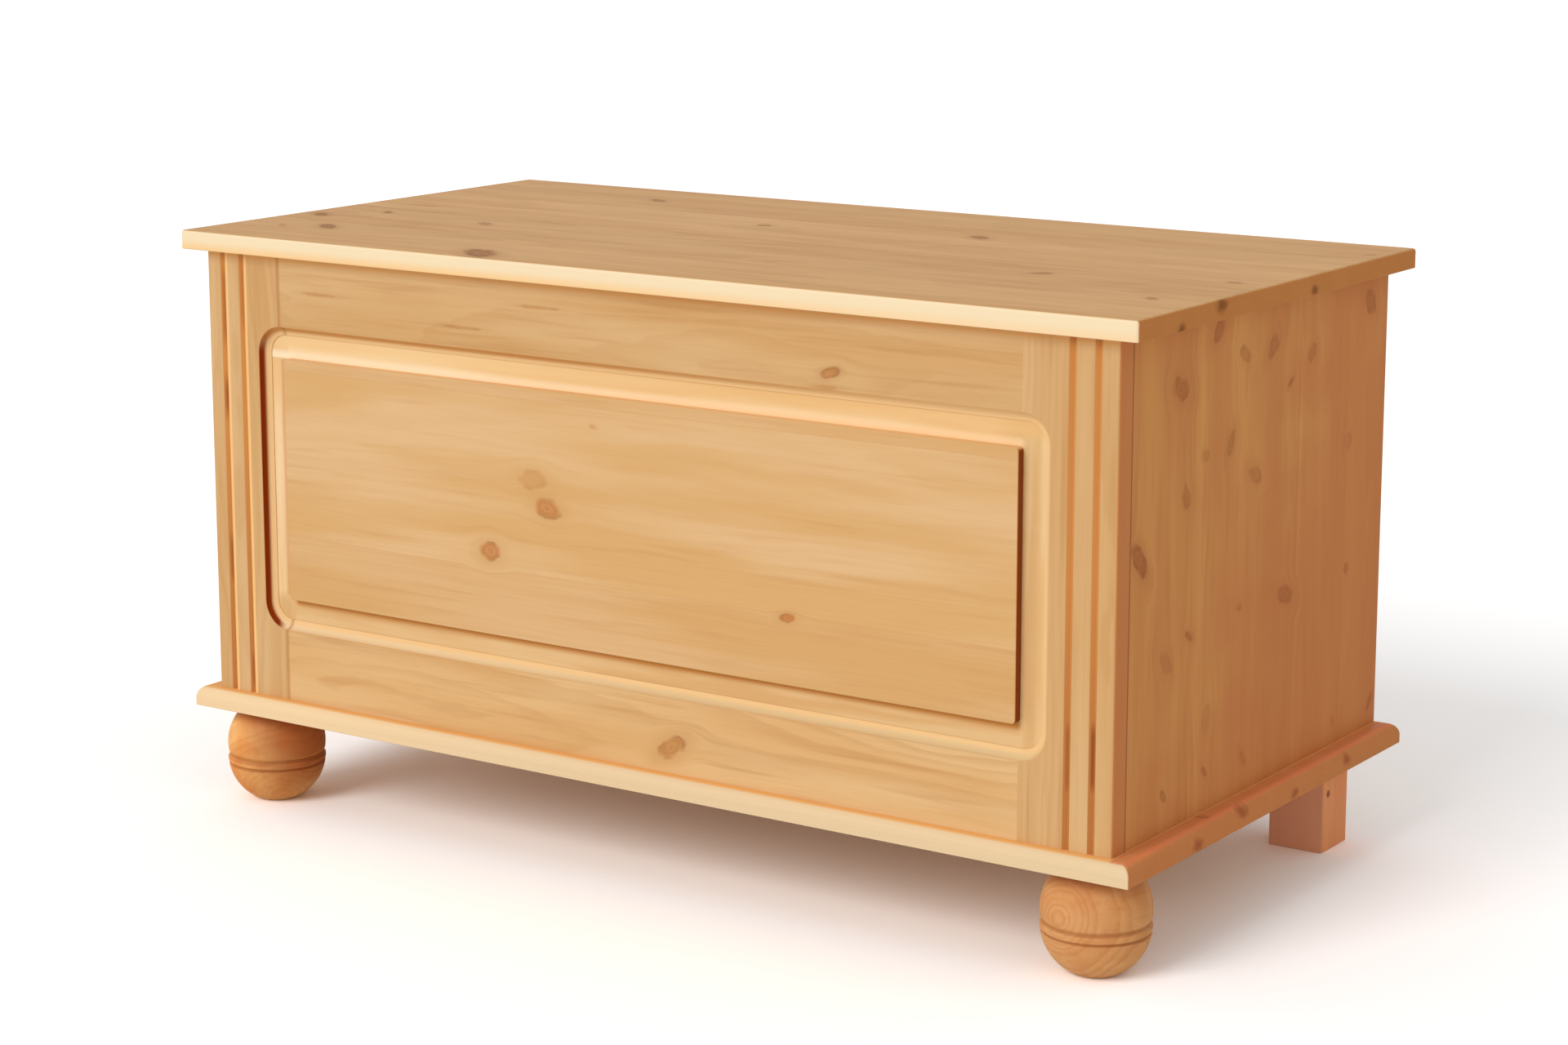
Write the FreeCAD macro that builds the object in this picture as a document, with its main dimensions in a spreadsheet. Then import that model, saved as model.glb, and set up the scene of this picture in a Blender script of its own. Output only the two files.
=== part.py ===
import FreeCAD, Part
import os
import re

# A pine storage chest with a hinged lid. Lengths are in millimetres, angles in degrees.
# X runs along the front to the right, Y from front to back, Z up. The origin lies on the
# ground under the middle of the lid.

SIZES = {
    "plan_length": (850, "lid board and base board, left to right"),
    "plan_depth": (440, "lid board and base board, front to back"),
    "side_overhang": (18, "boards beyond the body at each end"),
    "front_overhang": (10, "boards beyond the front of the body"),
    "back_overhang": (9, "boards beyond the back of the body"),
    "foot_height": (78, "ground to base board"),
    "base_thickness": (16, "base board"),
    "base_round": (9, "upper edge of the base board"),
    "body_height": (354, "base board to top of the walls"),
    "lid_thickness": (15, "lid board"),
    "lid_round": (2.5, "upper edge of the lid board"),
    "lid_gap": (0.3, "air between walls and shut lid"),
    "arris": (0.8, "small rounding of a sawn edge"),
    "end_thickness": (18, "end panels"),
    "back_thickness": (15, "back panel"),
    "frame_thickness": (18, "stiles and rails of the front"),
    "frame_round": (2.5, "front corner of a stile"),
    "top_rail_width": (55.5, "top rail above the opening"),
    "bottom_rail_width": (56.5, "bottom rail below the opening"),
    "opening_margin": (52, "end of the body to the opening"),
    "opening_corner": (22, "corner radius of the opening"),
    "cove_radius": (7, "hollow moulding round the opening"),
    "lip_thickness": (0.8, "edge of the moulding over the panel"),
    "tongue_thickness": (5, "edge of the panel"),
    "tongue_depth": (7, "edge of the panel inside the frame's groove"),
    "panel_play": (0.1, "groove over the panel's edge, each face"),
    "panel_room": (0.6, "groove beyond the panel's edge"),
    "border_width": (25, "opening's edge to the raised field"),
    "field_corner": (3, "corner radius of the raised field"),
    "field_recess": (0.5, "raised field behind the frame's face"),
    "flute_width": (6, "V flute in a stile"),
    "flute_depth": (2.2, "V flute in a stile"),
    "outer_flute": (16.5, "end of the body to the outer flute"),
    "inner_flute": (36, "end of the body to the inner flute"),
    "foot_radius": (39.1, "turned ball"),
    "upper_ball_height": (46, "ground to the middle of the ball's upper half"),
    "lower_ball_height": (35.6, "ground to the middle of the ball's lower half"),
    "collar_radius": (26, "collar on top of the ball"),
    "collar_height": (4.5, "collar on top of the ball"),
    "groove_height": (37.5, "ground to the groove round the ball"),
    "groove_depth": (1.8, "groove round the ball"),
    "groove_radius": (3, "section of the groove round the ball"),
    "line_height": (30.5, "ground to the fine line under the groove"),
    "line_depth": (1.7, "fine line, from the ball's greatest radius"),
    "line_radius": (1.6, "section of the fine line"),
    "foot_from_side": (47, "base board's end to the foot's axis"),
    "foot_from_front": (43, "base board's front to the foot's axis"),
    "leg_width": (45, "back leg, left to right"),
    "leg_depth": (43, "back leg, front to back"),
    "leg_from_side": (32, "base board's end to the leg"),
    "leg_from_back": (24, "base board's back to the leg"),
    "dowel_radius": (4, "wooden dowels"),
    "frame_dowel_length": (40, "dowels between stile and rail"),
    "frame_dowel_spread": (24, "between the two dowels of a joint"),
    "corner_dowel_length": (34, "dowels at the corners of the body"),
    "corner_dowel_sink": (9, "end of a corner dowel inside the board's face"),
    "dowel_margin": (50, "end of the board to the nearest corner dowel"),
    "hole_play": (0.1, "hole beyond its dowel or screw, all round"),
    "overrun": (2, "cutting tools beyond the surface that they cut"),
    "long_screw_length": (45, "screws of base board, feet and legs"),
    "long_screw_radius": (2.2, "shank"),
    "long_head_radius": (4.5, "countersunk head"),
    "long_head_height": (2.6, "countersunk head"),
    "batten_screw_length": (28, "screws of the battens"),
    "batten_screw_radius": (1.9, "shank"),
    "batten_head_radius": (3.9, "countersunk head"),
    "batten_head_height": (2.2, "countersunk head"),
    "hinge_screw_length": (13, "screws of the hinges"),
    "hinge_screw_radius": (1.5, "shank"),
    "hinge_head_radius": (2.9, "countersunk head"),
    "hinge_head_height": (1.5, "countersunk head"),
    "screw_point": (4, "tapered end of a screw"),
    "screw_point_radius": (0.4, "tip of a screw"),
    "front_screw_inset": (157, "end of the body to the outer screws under front and back"),
    "end_screw_inset": (110, "end of an end panel to the screws under it"),
    "leg_screw_spread": (20, "between the two screws of a leg"),
    "hinge_inset": (147, "end of the body to the middle of a hinge"),
    "hinge_length": (60, "butt hinge"),
    "leaf_width": (18, "hinge leaf, from the pin"),
    "leaf_thickness": (1.5, "hinge leaf"),
    "leaf_corner": (2, "corner radius of a leaf"),
    "knuckle_radius": (3, "hinge knuckle"),
    "knuckle_play": (0.3, "air round a knuckle and between knuckles"),
    "knuckle_count": (5, "knuckles of a hinge"),
    "hinge_pin_radius": (1.5, "hinge pin"),
    "pin_play": (0.05, "knuckle bore round the pin"),
    "mortise_play": (0.2, "mortise round a leaf"),
    "hinge_screw_spread": (20, "between neighbouring screws of a leaf"),
    "leaf_screw_inset": (8, "free edge of a leaf to its screws"),
    "batten_width": (40, "batten, left to right"),
    "batten_thickness": (18, "batten"),
    "batten_front_gap": (17, "front frame to the end of a batten"),
    "batten_back_gap": (21, "back panel to the end of a batten"),
    "batten_round": (2, "lower edges of a batten"),
    "batten_gap": (9, "batten to end panel"),
    "batten_screw_inset": (45, "end of a batten to its outer screws"),
    "stay_reach": (130, "hinge line to both screws of a stay"),
    "stay_start": (30, "angle at the hinge line between the two screws, lid shut"),
    "lid_swing": (95, "lid from shut to its stop"),
    "arm_thickness": (2, "stay arm"),
    "arm_width": (16, "stay arm"),
    "slot_play": (0.3, "slot round its screw"),
    "slot_end_play": (0.5, "slot beyond the screw at both stops"),
    "arm_play": (0.3, "arm to the screw's head and collar"),
    "stay_bolt_radius": (2.5, "plain shank of a stay screw"),
    "stay_head_radius": (5.5, "head of a stay screw"),
    "stay_head_thickness": (2, "head of a stay screw"),
    "stay_collar_radius": (5, "collar of a stay screw"),
    "stay_shank_radius": (1.8, "threaded end of a stay screw"),
    "stay_shank_length": (12, "threaded end of a stay screw"),
    "recess_width": (0.9, "cross recess in a screw's head"),
    "recess_depth": (1.1, "cross recess in a screw's head"),
}

# How close a measured edge lies to the plane it is looked for on
NEAR = 0.01

# Places that follow from the sizes above
BODY_LENGTH = "(plan_length - 2 * side_overhang)"
BODY_HALF = "(plan_length / 2 - side_overhang)"
BODY_FRONT = "(front_overhang - plan_depth / 2)"
BODY_BACK = "(plan_depth / 2 - back_overhang)"
BASE_TOP = "(foot_height + base_thickness)"
BODY_TOP = "(foot_height + base_thickness + body_height)"
LID_BOTTOM = "(foot_height + base_thickness + body_height + lid_gap)"
FRAME_BACK = f"({BODY_FRONT} + frame_thickness)"
INNER_HALF = f"({BODY_HALF} - end_thickness)"
BACK_INNER = f"({BODY_BACK} - back_thickness)"
STILE_WIDTH = "(opening_margin + opening_corner)"
OPENING_LENGTH = f"({BODY_LENGTH} - 2 * opening_margin)"
OPENING_HEIGHT = "(body_height - top_rail_width - bottom_rail_width)"
OPENING_FLOOR = f"({BASE_TOP} + bottom_rail_width)"
PANEL_FACE = f"({BODY_FRONT} + cove_radius + lip_thickness)"
HINGE_Y = f"({BODY_BACK} + knuckle_radius + knuckle_play)"
HINGE_Z = f"({LID_BOTTOM} - knuckle_radius - knuckle_play)"

doc = FreeCAD.newDocument("storage_chest")
sheet = doc.addObject("Spreadsheet::Sheet", "Sizes")
for row, (size_name, (number, meaning)) in enumerate(SIZES.items(), start=1):
    sheet.set(f"A{row}", meaning)
    sheet.set(f"B{row}", str(number))
    sheet.setAlias(f"B{row}", size_name)
doc.recompute()

X_AXIS = FreeCAD.Vector(1, 0, 0)
Y_AXIS = FreeCAD.Vector(0, 1, 0)
TURNS = {
    "+x": FreeCAD.Rotation(Y_AXIS, 90),
    "-x": FreeCAD.Rotation(Y_AXIS, -90),
    "+y": FreeCAD.Rotation(X_AXIS, -90),
    "-y": FreeCAD.Rotation(X_AXIS, 90),
    "+z": FreeCAD.Rotation(X_AXIS, 0),
    "-z": FreeCAD.Rotation(X_AXIS, 180),
}
SIDES = {"left": -1, "right": 1}
nodes = []


def formula(text):
    """The text with the sheet's name put before each size in it."""
    def full(word):
        return f"Sizes.{word.group()}" if word.group() in SIZES else word.group()
    return re.sub(r"[a-z_]+", full, str(text))


def bind(item, **formulas):
    for name, text in formulas.items():
        item.setExpression(name, formula(text))


def place(item, at, toward="+z"):
    item.Placement = FreeCAD.Placement(FreeCAD.Vector(), TURNS[toward])
    for axis, text in zip("xyz", at):
        item.setExpression(f"Placement.Base.{axis}", formula(text))


def node(label, item):
    """Marks an object as one finished piece of the chest."""
    item.Label = label
    nodes.append(item)


def block(name, size, at):
    """A box: at gives the middle in X and the low side in Y and Z."""
    solid = doc.addObject("Part::Box", name)
    bind(solid, Length=size[0], Width=size[1], Height=size[2])
    place(solid, (f"{at[0]} - ({size[0]}) / 2", at[1], at[2]))
    return solid


def rounded_block(name, size, at, rounds):
    """A block whose chosen edges are rounded, one group of edges after the other."""
    body = doc.addObject("PartDesign::Body", name)
    last = body.newObject("PartDesign::AdditiveBox", f"{name}_box")
    bind(last, Length=size[0], Width=size[1], Height=size[2])
    place(body, (f"{at[0]} - ({size[0]}) / 2", at[1], at[2]))
    doc.recompute()
    whole = last.Shape.BoundBox
    for count, (chosen, radius) in enumerate(rounds):
        edges = last.Shape.Edges
        names = [f"Edge{i}" for i, edge in enumerate(edges, 1) if chosen(edge.BoundBox, whole)]
        fillet = body.newObject("PartDesign::Fillet", f"{name}_round{count}")
        fillet.Base = (last, names)
        bind(fillet, Radius=radius)
        doc.recompute()
        last = fillet
    return body


def rod(name, radius, length, at, toward="+z"):
    solid = doc.addObject("Part::Cylinder", name)
    bind(solid, Radius=radius, Height=length)
    place(solid, at, toward)
    return solid


def cone(name, low_radius, high_radius, height, at=(0, 0, 0)):
    solid = doc.addObject("Part::Cone", name)
    bind(solid, Radius1=low_radius, Radius2=high_radius, Height=height)
    place(solid, at)
    return solid


def joined(name, solids):
    result = doc.addObject("Part::MultiFuse", name)
    result.Shapes = solids
    return result


def cut(name, base, tools):
    result = doc.addObject("Part::Cut", name)
    result.Base = base
    result.Tool = tools[0] if len(tools) == 1 else joined(f"{name}_tools", tools)
    return result


def common(name, base, tool):
    result = doc.addObject("Part::Common", name)
    result.Base = base
    result.Tool = tool
    return result


def copies(name, master, places, toward):
    """Copies of one solid, kept apart as a group: toward is one direction, or one for each place."""
    links = []
    ways = [toward] * len(places) if isinstance(toward, str) else toward
    for count, (at, way) in enumerate(zip(places, ways)):
        link = doc.addObject("App::Link", f"{name}{count}")
        link.LinkedObject = master
        place(link, at, way)
        links.append(link)
    group = doc.addObject("Part::Compound", f"{name}_group")
    group.Links = links
    return group


# Edges of a block, told by their box and the box of the whole block

def upright_front(edge, whole):
    return edge.ZLength > whole.ZLength - NEAR and edge.YMax < whole.YMin + NEAR


def upright_back(edge, whole):
    return edge.ZLength > whole.ZLength - NEAR and edge.YMin > whole.YMax - NEAR


def upright(edge, whole):
    return edge.ZLength > whole.ZLength - NEAR


def front_to_back(edge, whole):
    return edge.YLength > whole.YLength - NEAR


def all_top(edge, whole):
    return edge.ZMin > whole.ZMax - NEAR


def all_bottom(edge, whole):
    return edge.ZMax < whole.ZMin + NEAR


def all_back(edge, whole):
    return edge.YMin > whole.YMax - NEAR


def all_front(edge, whole):
    return edge.YMax < whole.YMin + NEAR


def front_and_side_top(edge, whole):
    return all_top(edge, whole) and not all_back(edge, whole)


def bottom_lengthwise(edge, whole):
    return all_bottom(edge, whole) and edge.YLength > whole.YLength - NEAR


# Fasteners. A screw's own origin is the middle of its head's face, its shank points along +Z.

def countersunk(kind, length, radius, head_radius, head_height):
    """A screw with a cross recess, and the hole that it needs."""
    taper = f"{length} - screw_point"
    shank = rod(f"{kind}_shank", radius, taper, (0, 0, 0))
    point = cone(f"{kind}_point", radius, "screw_point_radius", "screw_point", (0, 0, taper))
    head = cone(f"{kind}_head", head_radius, radius, head_height)
    across = block(f"{kind}_across", (head_radius, "recess_width", "recess_depth"),
                   (0, "-recess_width / 2", 0))
    along = block(f"{kind}_along", ("recess_width", head_radius, "recess_depth"),
                  (0, f"-{head_radius} / 2", 0))
    screw = cut(kind, joined(f"{kind}_solid", [shank, point, head]), [across, along])
    bore = rod(f"{kind}_bore", f"{radius} + hole_play", f"{length} + hole_play", (0, 0, 0))
    sink = cone(f"{kind}_sink", f"{head_radius} + hole_play", f"{radius} + hole_play", head_height)
    mouth = rod(f"{kind}_mouth", f"{head_radius} + hole_play", "overrun", (0, 0, "-overrun"))
    return screw, joined(f"{kind}_hole", [bore, sink, mouth])


def dowel(kind, length):
    """A wooden dowel and its hole, both lying along +Z from one end."""
    peg = rod(kind, "dowel_radius", length, (0, 0, 0))
    hole = rod(f"{kind}_hole", "dowel_radius + hole_play", f"{length} + 2 * hole_play", (0, 0, "-hole_play"))
    return peg, hole


long_screw, long_hole = countersunk(
    "long_screw", "long_screw_length", "long_screw_radius", "long_head_radius", "long_head_height")
batten_screw, batten_hole = countersunk(
    "batten_screw", "batten_screw_length", "batten_screw_radius", "batten_head_radius", "batten_head_height")
hinge_screw, hinge_hole = countersunk(
    "hinge_screw", "hinge_screw_length", "hinge_screw_radius", "hinge_head_radius", "hinge_head_height")
frame_dowel, frame_dowel_hole = dowel("frame_dowel", "frame_dowel_length")
corner_dowel, corner_dowel_hole = dowel("corner_dowel", "corner_dowel_length")

# The collar of a stay screw rests on the wood at its own origin, the shank points along +Z
COLLAR = "(batten_gap / 2 - arm_thickness / 2 - arm_play)"
BOLT = "(arm_thickness + 2 * arm_play)"
stay_screw = joined("stay_screw", [
    rod("stay_shank", "stay_shank_radius", "stay_shank_length", (0, 0, 0)),
    rod("stay_collar", "stay_collar_radius", COLLAR, (0, 0, f"-{COLLAR}")),
    rod("stay_bolt", "stay_bolt_radius", BOLT, (0, 0, f"-{COLLAR} - {BOLT}")),
    rod("stay_head", "stay_head_radius", "stay_head_thickness",
        (0, 0, f"-{COLLAR} - {BOLT} - stay_head_thickness")),
])
stay_hole = rod("stay_hole", "stay_shank_radius + hole_play", "stay_shank_length + hole_play + overrun",
                (0, 0, "-overrun"))


# Where the fasteners go

def both_sides(*spots):
    """Each spot, whose first part is a distance from the middle, on the left and on the right."""
    return [(f"{side} * ({x})", y, z) for side in SIDES.values() for x, y, z in spots]


def frame_dowel_places():
    places = []
    depth = f"{BODY_FRONT} + frame_thickness / 2"
    rails = (f"{BASE_TOP} + bottom_rail_width / 2", f"{BODY_TOP} - top_rail_width / 2")
    for side in SIDES.values():
        for rail in rails:
            for way in (-1, 1):
                start = f"{side} * ({BODY_HALF} - {STILE_WIDTH}) - frame_dowel_length / 2"
                places.append((start, depth, f"{rail} + {way} * frame_dowel_spread / 2"))
    return places


CORNER_HEIGHTS = (
    f"{BASE_TOP} + dowel_margin",
    f"({BASE_TOP} + {BODY_TOP}) / 2",
    f"{BODY_TOP} - dowel_margin",
)
END_MIDDLE = f"{BODY_HALF} - end_thickness / 2"
FRONT_MIDDLE = f"{BODY_FRONT} + frame_thickness / 2"
BACK_MIDDLE = f"{BACK_INNER} + back_thickness / 2"
front_dowel_places = both_sides(*[
    (END_MIDDLE, f"{FRAME_BACK} - corner_dowel_sink", height) for height in CORNER_HEIGHTS])
RIGHT_DOWEL = f"{INNER_HALF} - corner_dowel_length + corner_dowel_sink"
LEFT_DOWEL = f"-{INNER_HALF} - corner_dowel_sink"
back_dowel_places = [
    (start, BACK_MIDDLE, height) for start in (RIGHT_DOWEL, LEFT_DOWEL) for height in CORNER_HEIGHTS]

base_screw_places = [
    (f"{step} * ({BODY_HALF} - front_screw_inset)", row, "foot_height")
    for row in (FRONT_MIDDLE, BACK_MIDDLE) for step in (-1, 0, 1)]
base_screw_places += both_sides(
    (END_MIDDLE, f"{FRAME_BACK} + end_screw_inset", "foot_height"),
    (END_MIDDLE, f"{BODY_BACK} - end_screw_inset", "foot_height"))
FOOT_X = "(plan_length / 2 - foot_from_side)"
FOOT_Y = "(foot_from_front - plan_depth / 2)"
foot_screw_places = both_sides((FOOT_X, FOOT_Y, BASE_TOP))
LEG_X = "(plan_length / 2 - leg_from_side - leg_width / 2)"
LEG_Y = "(plan_depth / 2 - leg_from_back - leg_depth)"
leg_screw_places = both_sides(*[
    (f"{LEG_X} + {step} * leg_screw_spread / 2", f"{LEG_Y} + leg_depth / 2", BASE_TOP) for step in (-1, 1)])

BATTEN_X = f"({INNER_HALF} - batten_gap - batten_width / 2)"
BATTEN_START = f"({FRAME_BACK} + batten_front_gap)"
BATTEN_END = f"({BACK_INNER} - batten_back_gap)"
BATTEN_ROWS = (
    f"{BATTEN_START} + batten_screw_inset",
    f"({BATTEN_START} + {BATTEN_END}) / 2",
    f"{BATTEN_END} - batten_screw_inset",
)
batten_screw_places = both_sides(*[
    (BATTEN_X, row, f"{LID_BOTTOM} - batten_thickness") for row in BATTEN_ROWS])
HINGE_X = f"({BODY_HALF} - hinge_inset)"
HINGE_STEPS = [f"{HINGE_X} + {step} * hinge_screw_spread" for step in (-1, 0, 1)]
LEAF_ROW = "- leaf_width + leaf_screw_inset"
lid_leaf_screw_places = both_sides(*[
    (step, f"{HINGE_Y} {LEAF_ROW}", f"{LID_BOTTOM} - leaf_thickness") for step in HINGE_STEPS])
chest_leaf_screw_places = both_sides(*[
    (step, f"{BODY_BACK} + leaf_thickness", f"{HINGE_Z} {LEAF_ROW}") for step in HINGE_STEPS])

# Both screws of a stay lie on one circle about the hinge line
DEGREE = "(1 deg)"
DROP_ANGLE = "asin((batten_thickness / 2 - knuckle_radius - knuckle_play) / stay_reach)"
GUIDE_ANGLE = f"({DROP_ANGLE} + stay_start * {DEGREE})"
ARM_ANGLE = f"({DROP_ANGLE} + stay_start / 2 * {DEGREE})"
PIVOT_Y = f"{HINGE_Y} - stay_reach * cos({DROP_ANGLE})"
PIVOT_Z = f"{HINGE_Z} - stay_reach * sin({DROP_ANGLE})"
GUIDE_Y = f"{HINGE_Y} - stay_reach * cos({GUIDE_ANGLE})"
GUIDE_Z = f"{HINGE_Z} - stay_reach * sin({GUIDE_ANGLE})"
pivot_places = both_sides((f"{INNER_HALF} - batten_gap", PIVOT_Y, PIVOT_Z))
guide_places = both_sides((INNER_HALF, GUIDE_Y, GUIDE_Z))

frame_dowel_holes = copies("frame_dowel_holes", frame_dowel_hole, frame_dowel_places(), "+x")
front_dowel_holes = copies("front_dowel_holes", corner_dowel_hole, front_dowel_places, "+y")
back_dowel_holes = copies("back_dowel_holes", corner_dowel_hole, back_dowel_places, "+x")
base_screw_holes = copies("base_screw_holes", long_hole, base_screw_places, "+z")
foot_screw_holes = copies("foot_screw_holes", long_hole, foot_screw_places, "-z")
leg_screw_holes = copies("leg_screw_holes", long_hole, leg_screw_places, "-z")
batten_screw_holes = copies("batten_screw_holes", batten_hole, batten_screw_places, "+z")
lid_leaf_holes = copies("lid_leaf_holes", hinge_hole, lid_leaf_screw_places, "+z")
chest_leaf_holes = copies("chest_leaf_holes", hinge_hole, chest_leaf_screw_places, "-y")
guide_holes = copies("guide_holes", stay_hole, guide_places, ["-x", "+x"])
pivot_holes = copies("pivot_holes", stay_hole, pivot_places, ["+x", "-x"])

node("frame_dowels", copies("frame_dowels", frame_dowel, frame_dowel_places(), "+x"))
node("front_dowels", copies("front_dowels", corner_dowel, front_dowel_places, "+y"))
node("back_dowels", copies("back_dowels", corner_dowel, back_dowel_places, "+x"))
node("base_screws", copies("base_screws", long_screw, base_screw_places, "+z"))
node("foot_screws", copies("foot_screws", long_screw, foot_screw_places, "-z"))
node("leg_screws", copies("leg_screws", long_screw, leg_screw_places, "-z"))
node("lid_batten_screws", copies("lid_batten_screws", batten_screw, batten_screw_places, "+z"))
node("hinge_lid_screws", copies("hinge_lid_screws", hinge_screw, lid_leaf_screw_places, "+z"))
node("hinge_chest_screws", copies("hinge_chest_screws", hinge_screw, chest_leaf_screw_places, "-y"))
node("stay_guide_screws", copies("stay_guide_screws", stay_screw, guide_places, ["-x", "+x"]))
node("stay_pivot_screws", copies("stay_pivot_screws", stay_screw, pivot_places, ["+x", "-x"]))


def make_base_board():
    board = rounded_block(
        "base_blank", ("plan_length", "plan_depth", "base_thickness"), (0, "-plan_depth / 2", "foot_height"),
        [(upright, "arris"), (front_and_side_top, "base_round"), (all_bottom, "arris")])
    node("base_board", cut("base_board", board, [base_screw_holes, foot_screw_holes, leg_screw_holes]))


def make_feet():
    """Two ball halves with their middles at different heights, a collar, a groove and a fine line."""
    for name, side in SIDES.items():
        x = f"{side} * {FOOT_X}"
        collar_floor = "(foot_height - collar_height)"
        halves = []
        for half, middle, low, high in (
                ("upper", "upper_ball_height", "groove_height", collar_floor),
                ("lower", "lower_ball_height", "0", "groove_height")):
            ball = doc.addObject("Part::Sphere", f"{name}_{half}_ball")
            bind(ball, Radius="foot_radius")
            place(ball, (x, FOOT_Y, middle))
            slab = rod(f"{name}_{half}_slab", "foot_radius + overrun", f"{high} - {low}", (x, FOOT_Y, low))
            halves.append(common(f"{name}_{half}_half", ball, slab))
        collar = rod(f"{name}_collar", "collar_radius", "collar_height", (x, FOOT_Y, collar_floor))
        hollows = []
        for hollow in ("groove", "line"):
            ring = doc.addObject("Part::Torus", f"{name}_{hollow}")
            bind(ring, Radius1=f"foot_radius - {hollow}_depth + {hollow}_radius", Radius2=f"{hollow}_radius")
            place(ring, (x, FOOT_Y, f"{hollow}_height"))
            hollows.append(ring)
        turned = joined(f"{name}_turned", halves + [collar])
        label = f"ball_foot_{name}"
        node(label, cut(label, turned, hollows + [foot_screw_holes]))


def make_legs():
    for name, side in SIDES.items():
        blank = rounded_block(
            f"{name}_leg_blank", ("leg_width", "leg_depth", "foot_height"), (f"{side} * {LEG_X}", LEG_Y, 0),
            [(upright, "arris"), (all_bottom, "arris")])
        label = f"back_leg_{name}"
        node(label, cut(label, blank, [leg_screw_holes]))


def make_flutes():
    """V flutes down the whole height of the stiles, as wedges that run out past the face."""
    flutes = []
    reach = "flute_width / 2 * (1 + overrun / flute_depth)"
    low = "-overrun"
    high = "body_height + overrun"
    for name, side in SIDES.items():
        for which in ("outer_flute", "inner_flute"):
            wedge = doc.addObject("Part::Wedge", f"{name}_{which}")
            bind(wedge, Xmin=f"-{reach}", Xmax=reach, X2min=0, X2max=0, Ymin="-overrun", Ymax="flute_depth",
                 Zmin=low, Zmax=high, Z2min=low, Z2max=high)
            place(wedge, (f"{side} * ({BODY_HALF} - {which})", BODY_FRONT, BASE_TOP))
            flutes.append(wedge)
    return flutes


def make_front_frame():
    """One framed front with its moulding, groove and flutes, then parted into stiles and rails."""
    blank = rounded_block(
        "frame_blank", (BODY_LENGTH, "frame_thickness", "body_height"), (0, BODY_FRONT, BASE_TOP),
        [(upright_front, "frame_round")])
    hollow = rounded_block(
        "frame_hollow", (OPENING_LENGTH, "cove_radius + lip_thickness + overrun", OPENING_HEIGHT),
        (0, f"{BODY_FRONT} - lip_thickness - overrun", OPENING_FLOOR),
        [(front_to_back, "opening_corner"), (all_back, "cove_radius")])
    coves = "2 * cove_radius"
    window = rounded_block(
        "frame_window",
        (f"{OPENING_LENGTH} - {coves}", "frame_thickness + 2 * overrun", f"{OPENING_HEIGHT} - {coves}"),
        (0, f"{BODY_FRONT} - overrun", f"{OPENING_FLOOR} + cove_radius"),
        [(front_to_back, "opening_corner - cove_radius")])
    grown = "2 * (tongue_depth + panel_room - cove_radius)"
    groove = block(
        "frame_groove",
        (f"{OPENING_LENGTH} + {grown}", "tongue_thickness + 2 * panel_play", f"{OPENING_HEIGHT} + {grown}"),
        (0, f"{PANEL_FACE} - panel_play", f"{OPENING_FLOOR} - ({grown}) / 2"))
    holes = [frame_dowel_holes, front_dowel_holes, base_screw_holes]
    frame = cut("frame", blank, [hollow, window, groove] + holes + make_flutes())
    for name, side in SIDES.items():
        part = block(f"{name}_stile_part", (STILE_WIDTH, "frame_thickness", "body_height"),
                     (f"{side} * ({BODY_HALF} - {STILE_WIDTH} / 2)", BODY_FRONT, BASE_TOP))
        label = f"front_stile_{name}"
        node(label, common(label, frame, part))
    half = "body_height / 2"
    for name, floor in (("bottom", BASE_TOP), ("top", f"{BASE_TOP} + {half}")):
        part = block(f"{name}_rail_part", (f"{BODY_LENGTH} - 2 * {STILE_WIDTH}", "frame_thickness", half),
                     (0, BODY_FRONT, floor))
        label = f"front_rail_{name}"
        node(label, common(label, frame, part))


def make_front_panel():
    """A plate held in the groove, with a raised field that has square shoulders."""
    grown = "2 * (tongue_depth - cove_radius)"
    plate = block(
        "panel_plate", (f"{OPENING_LENGTH} + {grown}", "tongue_thickness", f"{OPENING_HEIGHT} + {grown}"),
        (0, PANEL_FACE, f"{OPENING_FLOOR} - ({grown}) / 2"))
    field = rounded_block(
        "panel_field",
        (f"{OPENING_LENGTH} - 2 * border_width",
         "cove_radius + lip_thickness + tongue_thickness - field_recess",
         f"{OPENING_HEIGHT} - 2 * border_width"),
        (0, f"{BODY_FRONT} + field_recess", f"{OPENING_FLOOR} + border_width"),
        [(front_to_back, "field_corner"), (all_front, "arris")])
    node("front_panel", joined("front_panel", [plate, field]))


def make_walls():
    for name, side in SIDES.items():
        blank = rounded_block(
            f"{name}_end_blank", ("end_thickness", f"{BODY_BACK} - {FRAME_BACK}", "body_height"),
            (f"{side} * ({BODY_HALF} - end_thickness / 2)", FRAME_BACK, BASE_TOP), [(upright_back, "arris")])
        label = f"end_panel_{name}"
        node(label, cut(label, blank, [front_dowel_holes, back_dowel_holes, base_screw_holes, guide_holes]))
    blank = block("back_blank", (f"2 * {INNER_HALF}", "back_thickness", "body_height"),
                  (0, BACK_INNER, BASE_TOP))
    floor = f"({LID_BOTTOM} - leaf_thickness - mortise_play)"
    room = ("hinge_length + 2 * mortise_play", "back_thickness + 2 * overrun",
            f"{BODY_TOP} - {floor} + overrun")
    mortises = [
        block(f"{name}_mortise", room, (f"{side} * {HINGE_X}", f"{BACK_INNER} - overrun", floor))
        for name, side in SIDES.items()]
    holes = [back_dowel_holes, base_screw_holes, chest_leaf_holes]
    node("back_panel", cut("back_panel", blank, mortises + holes))


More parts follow.
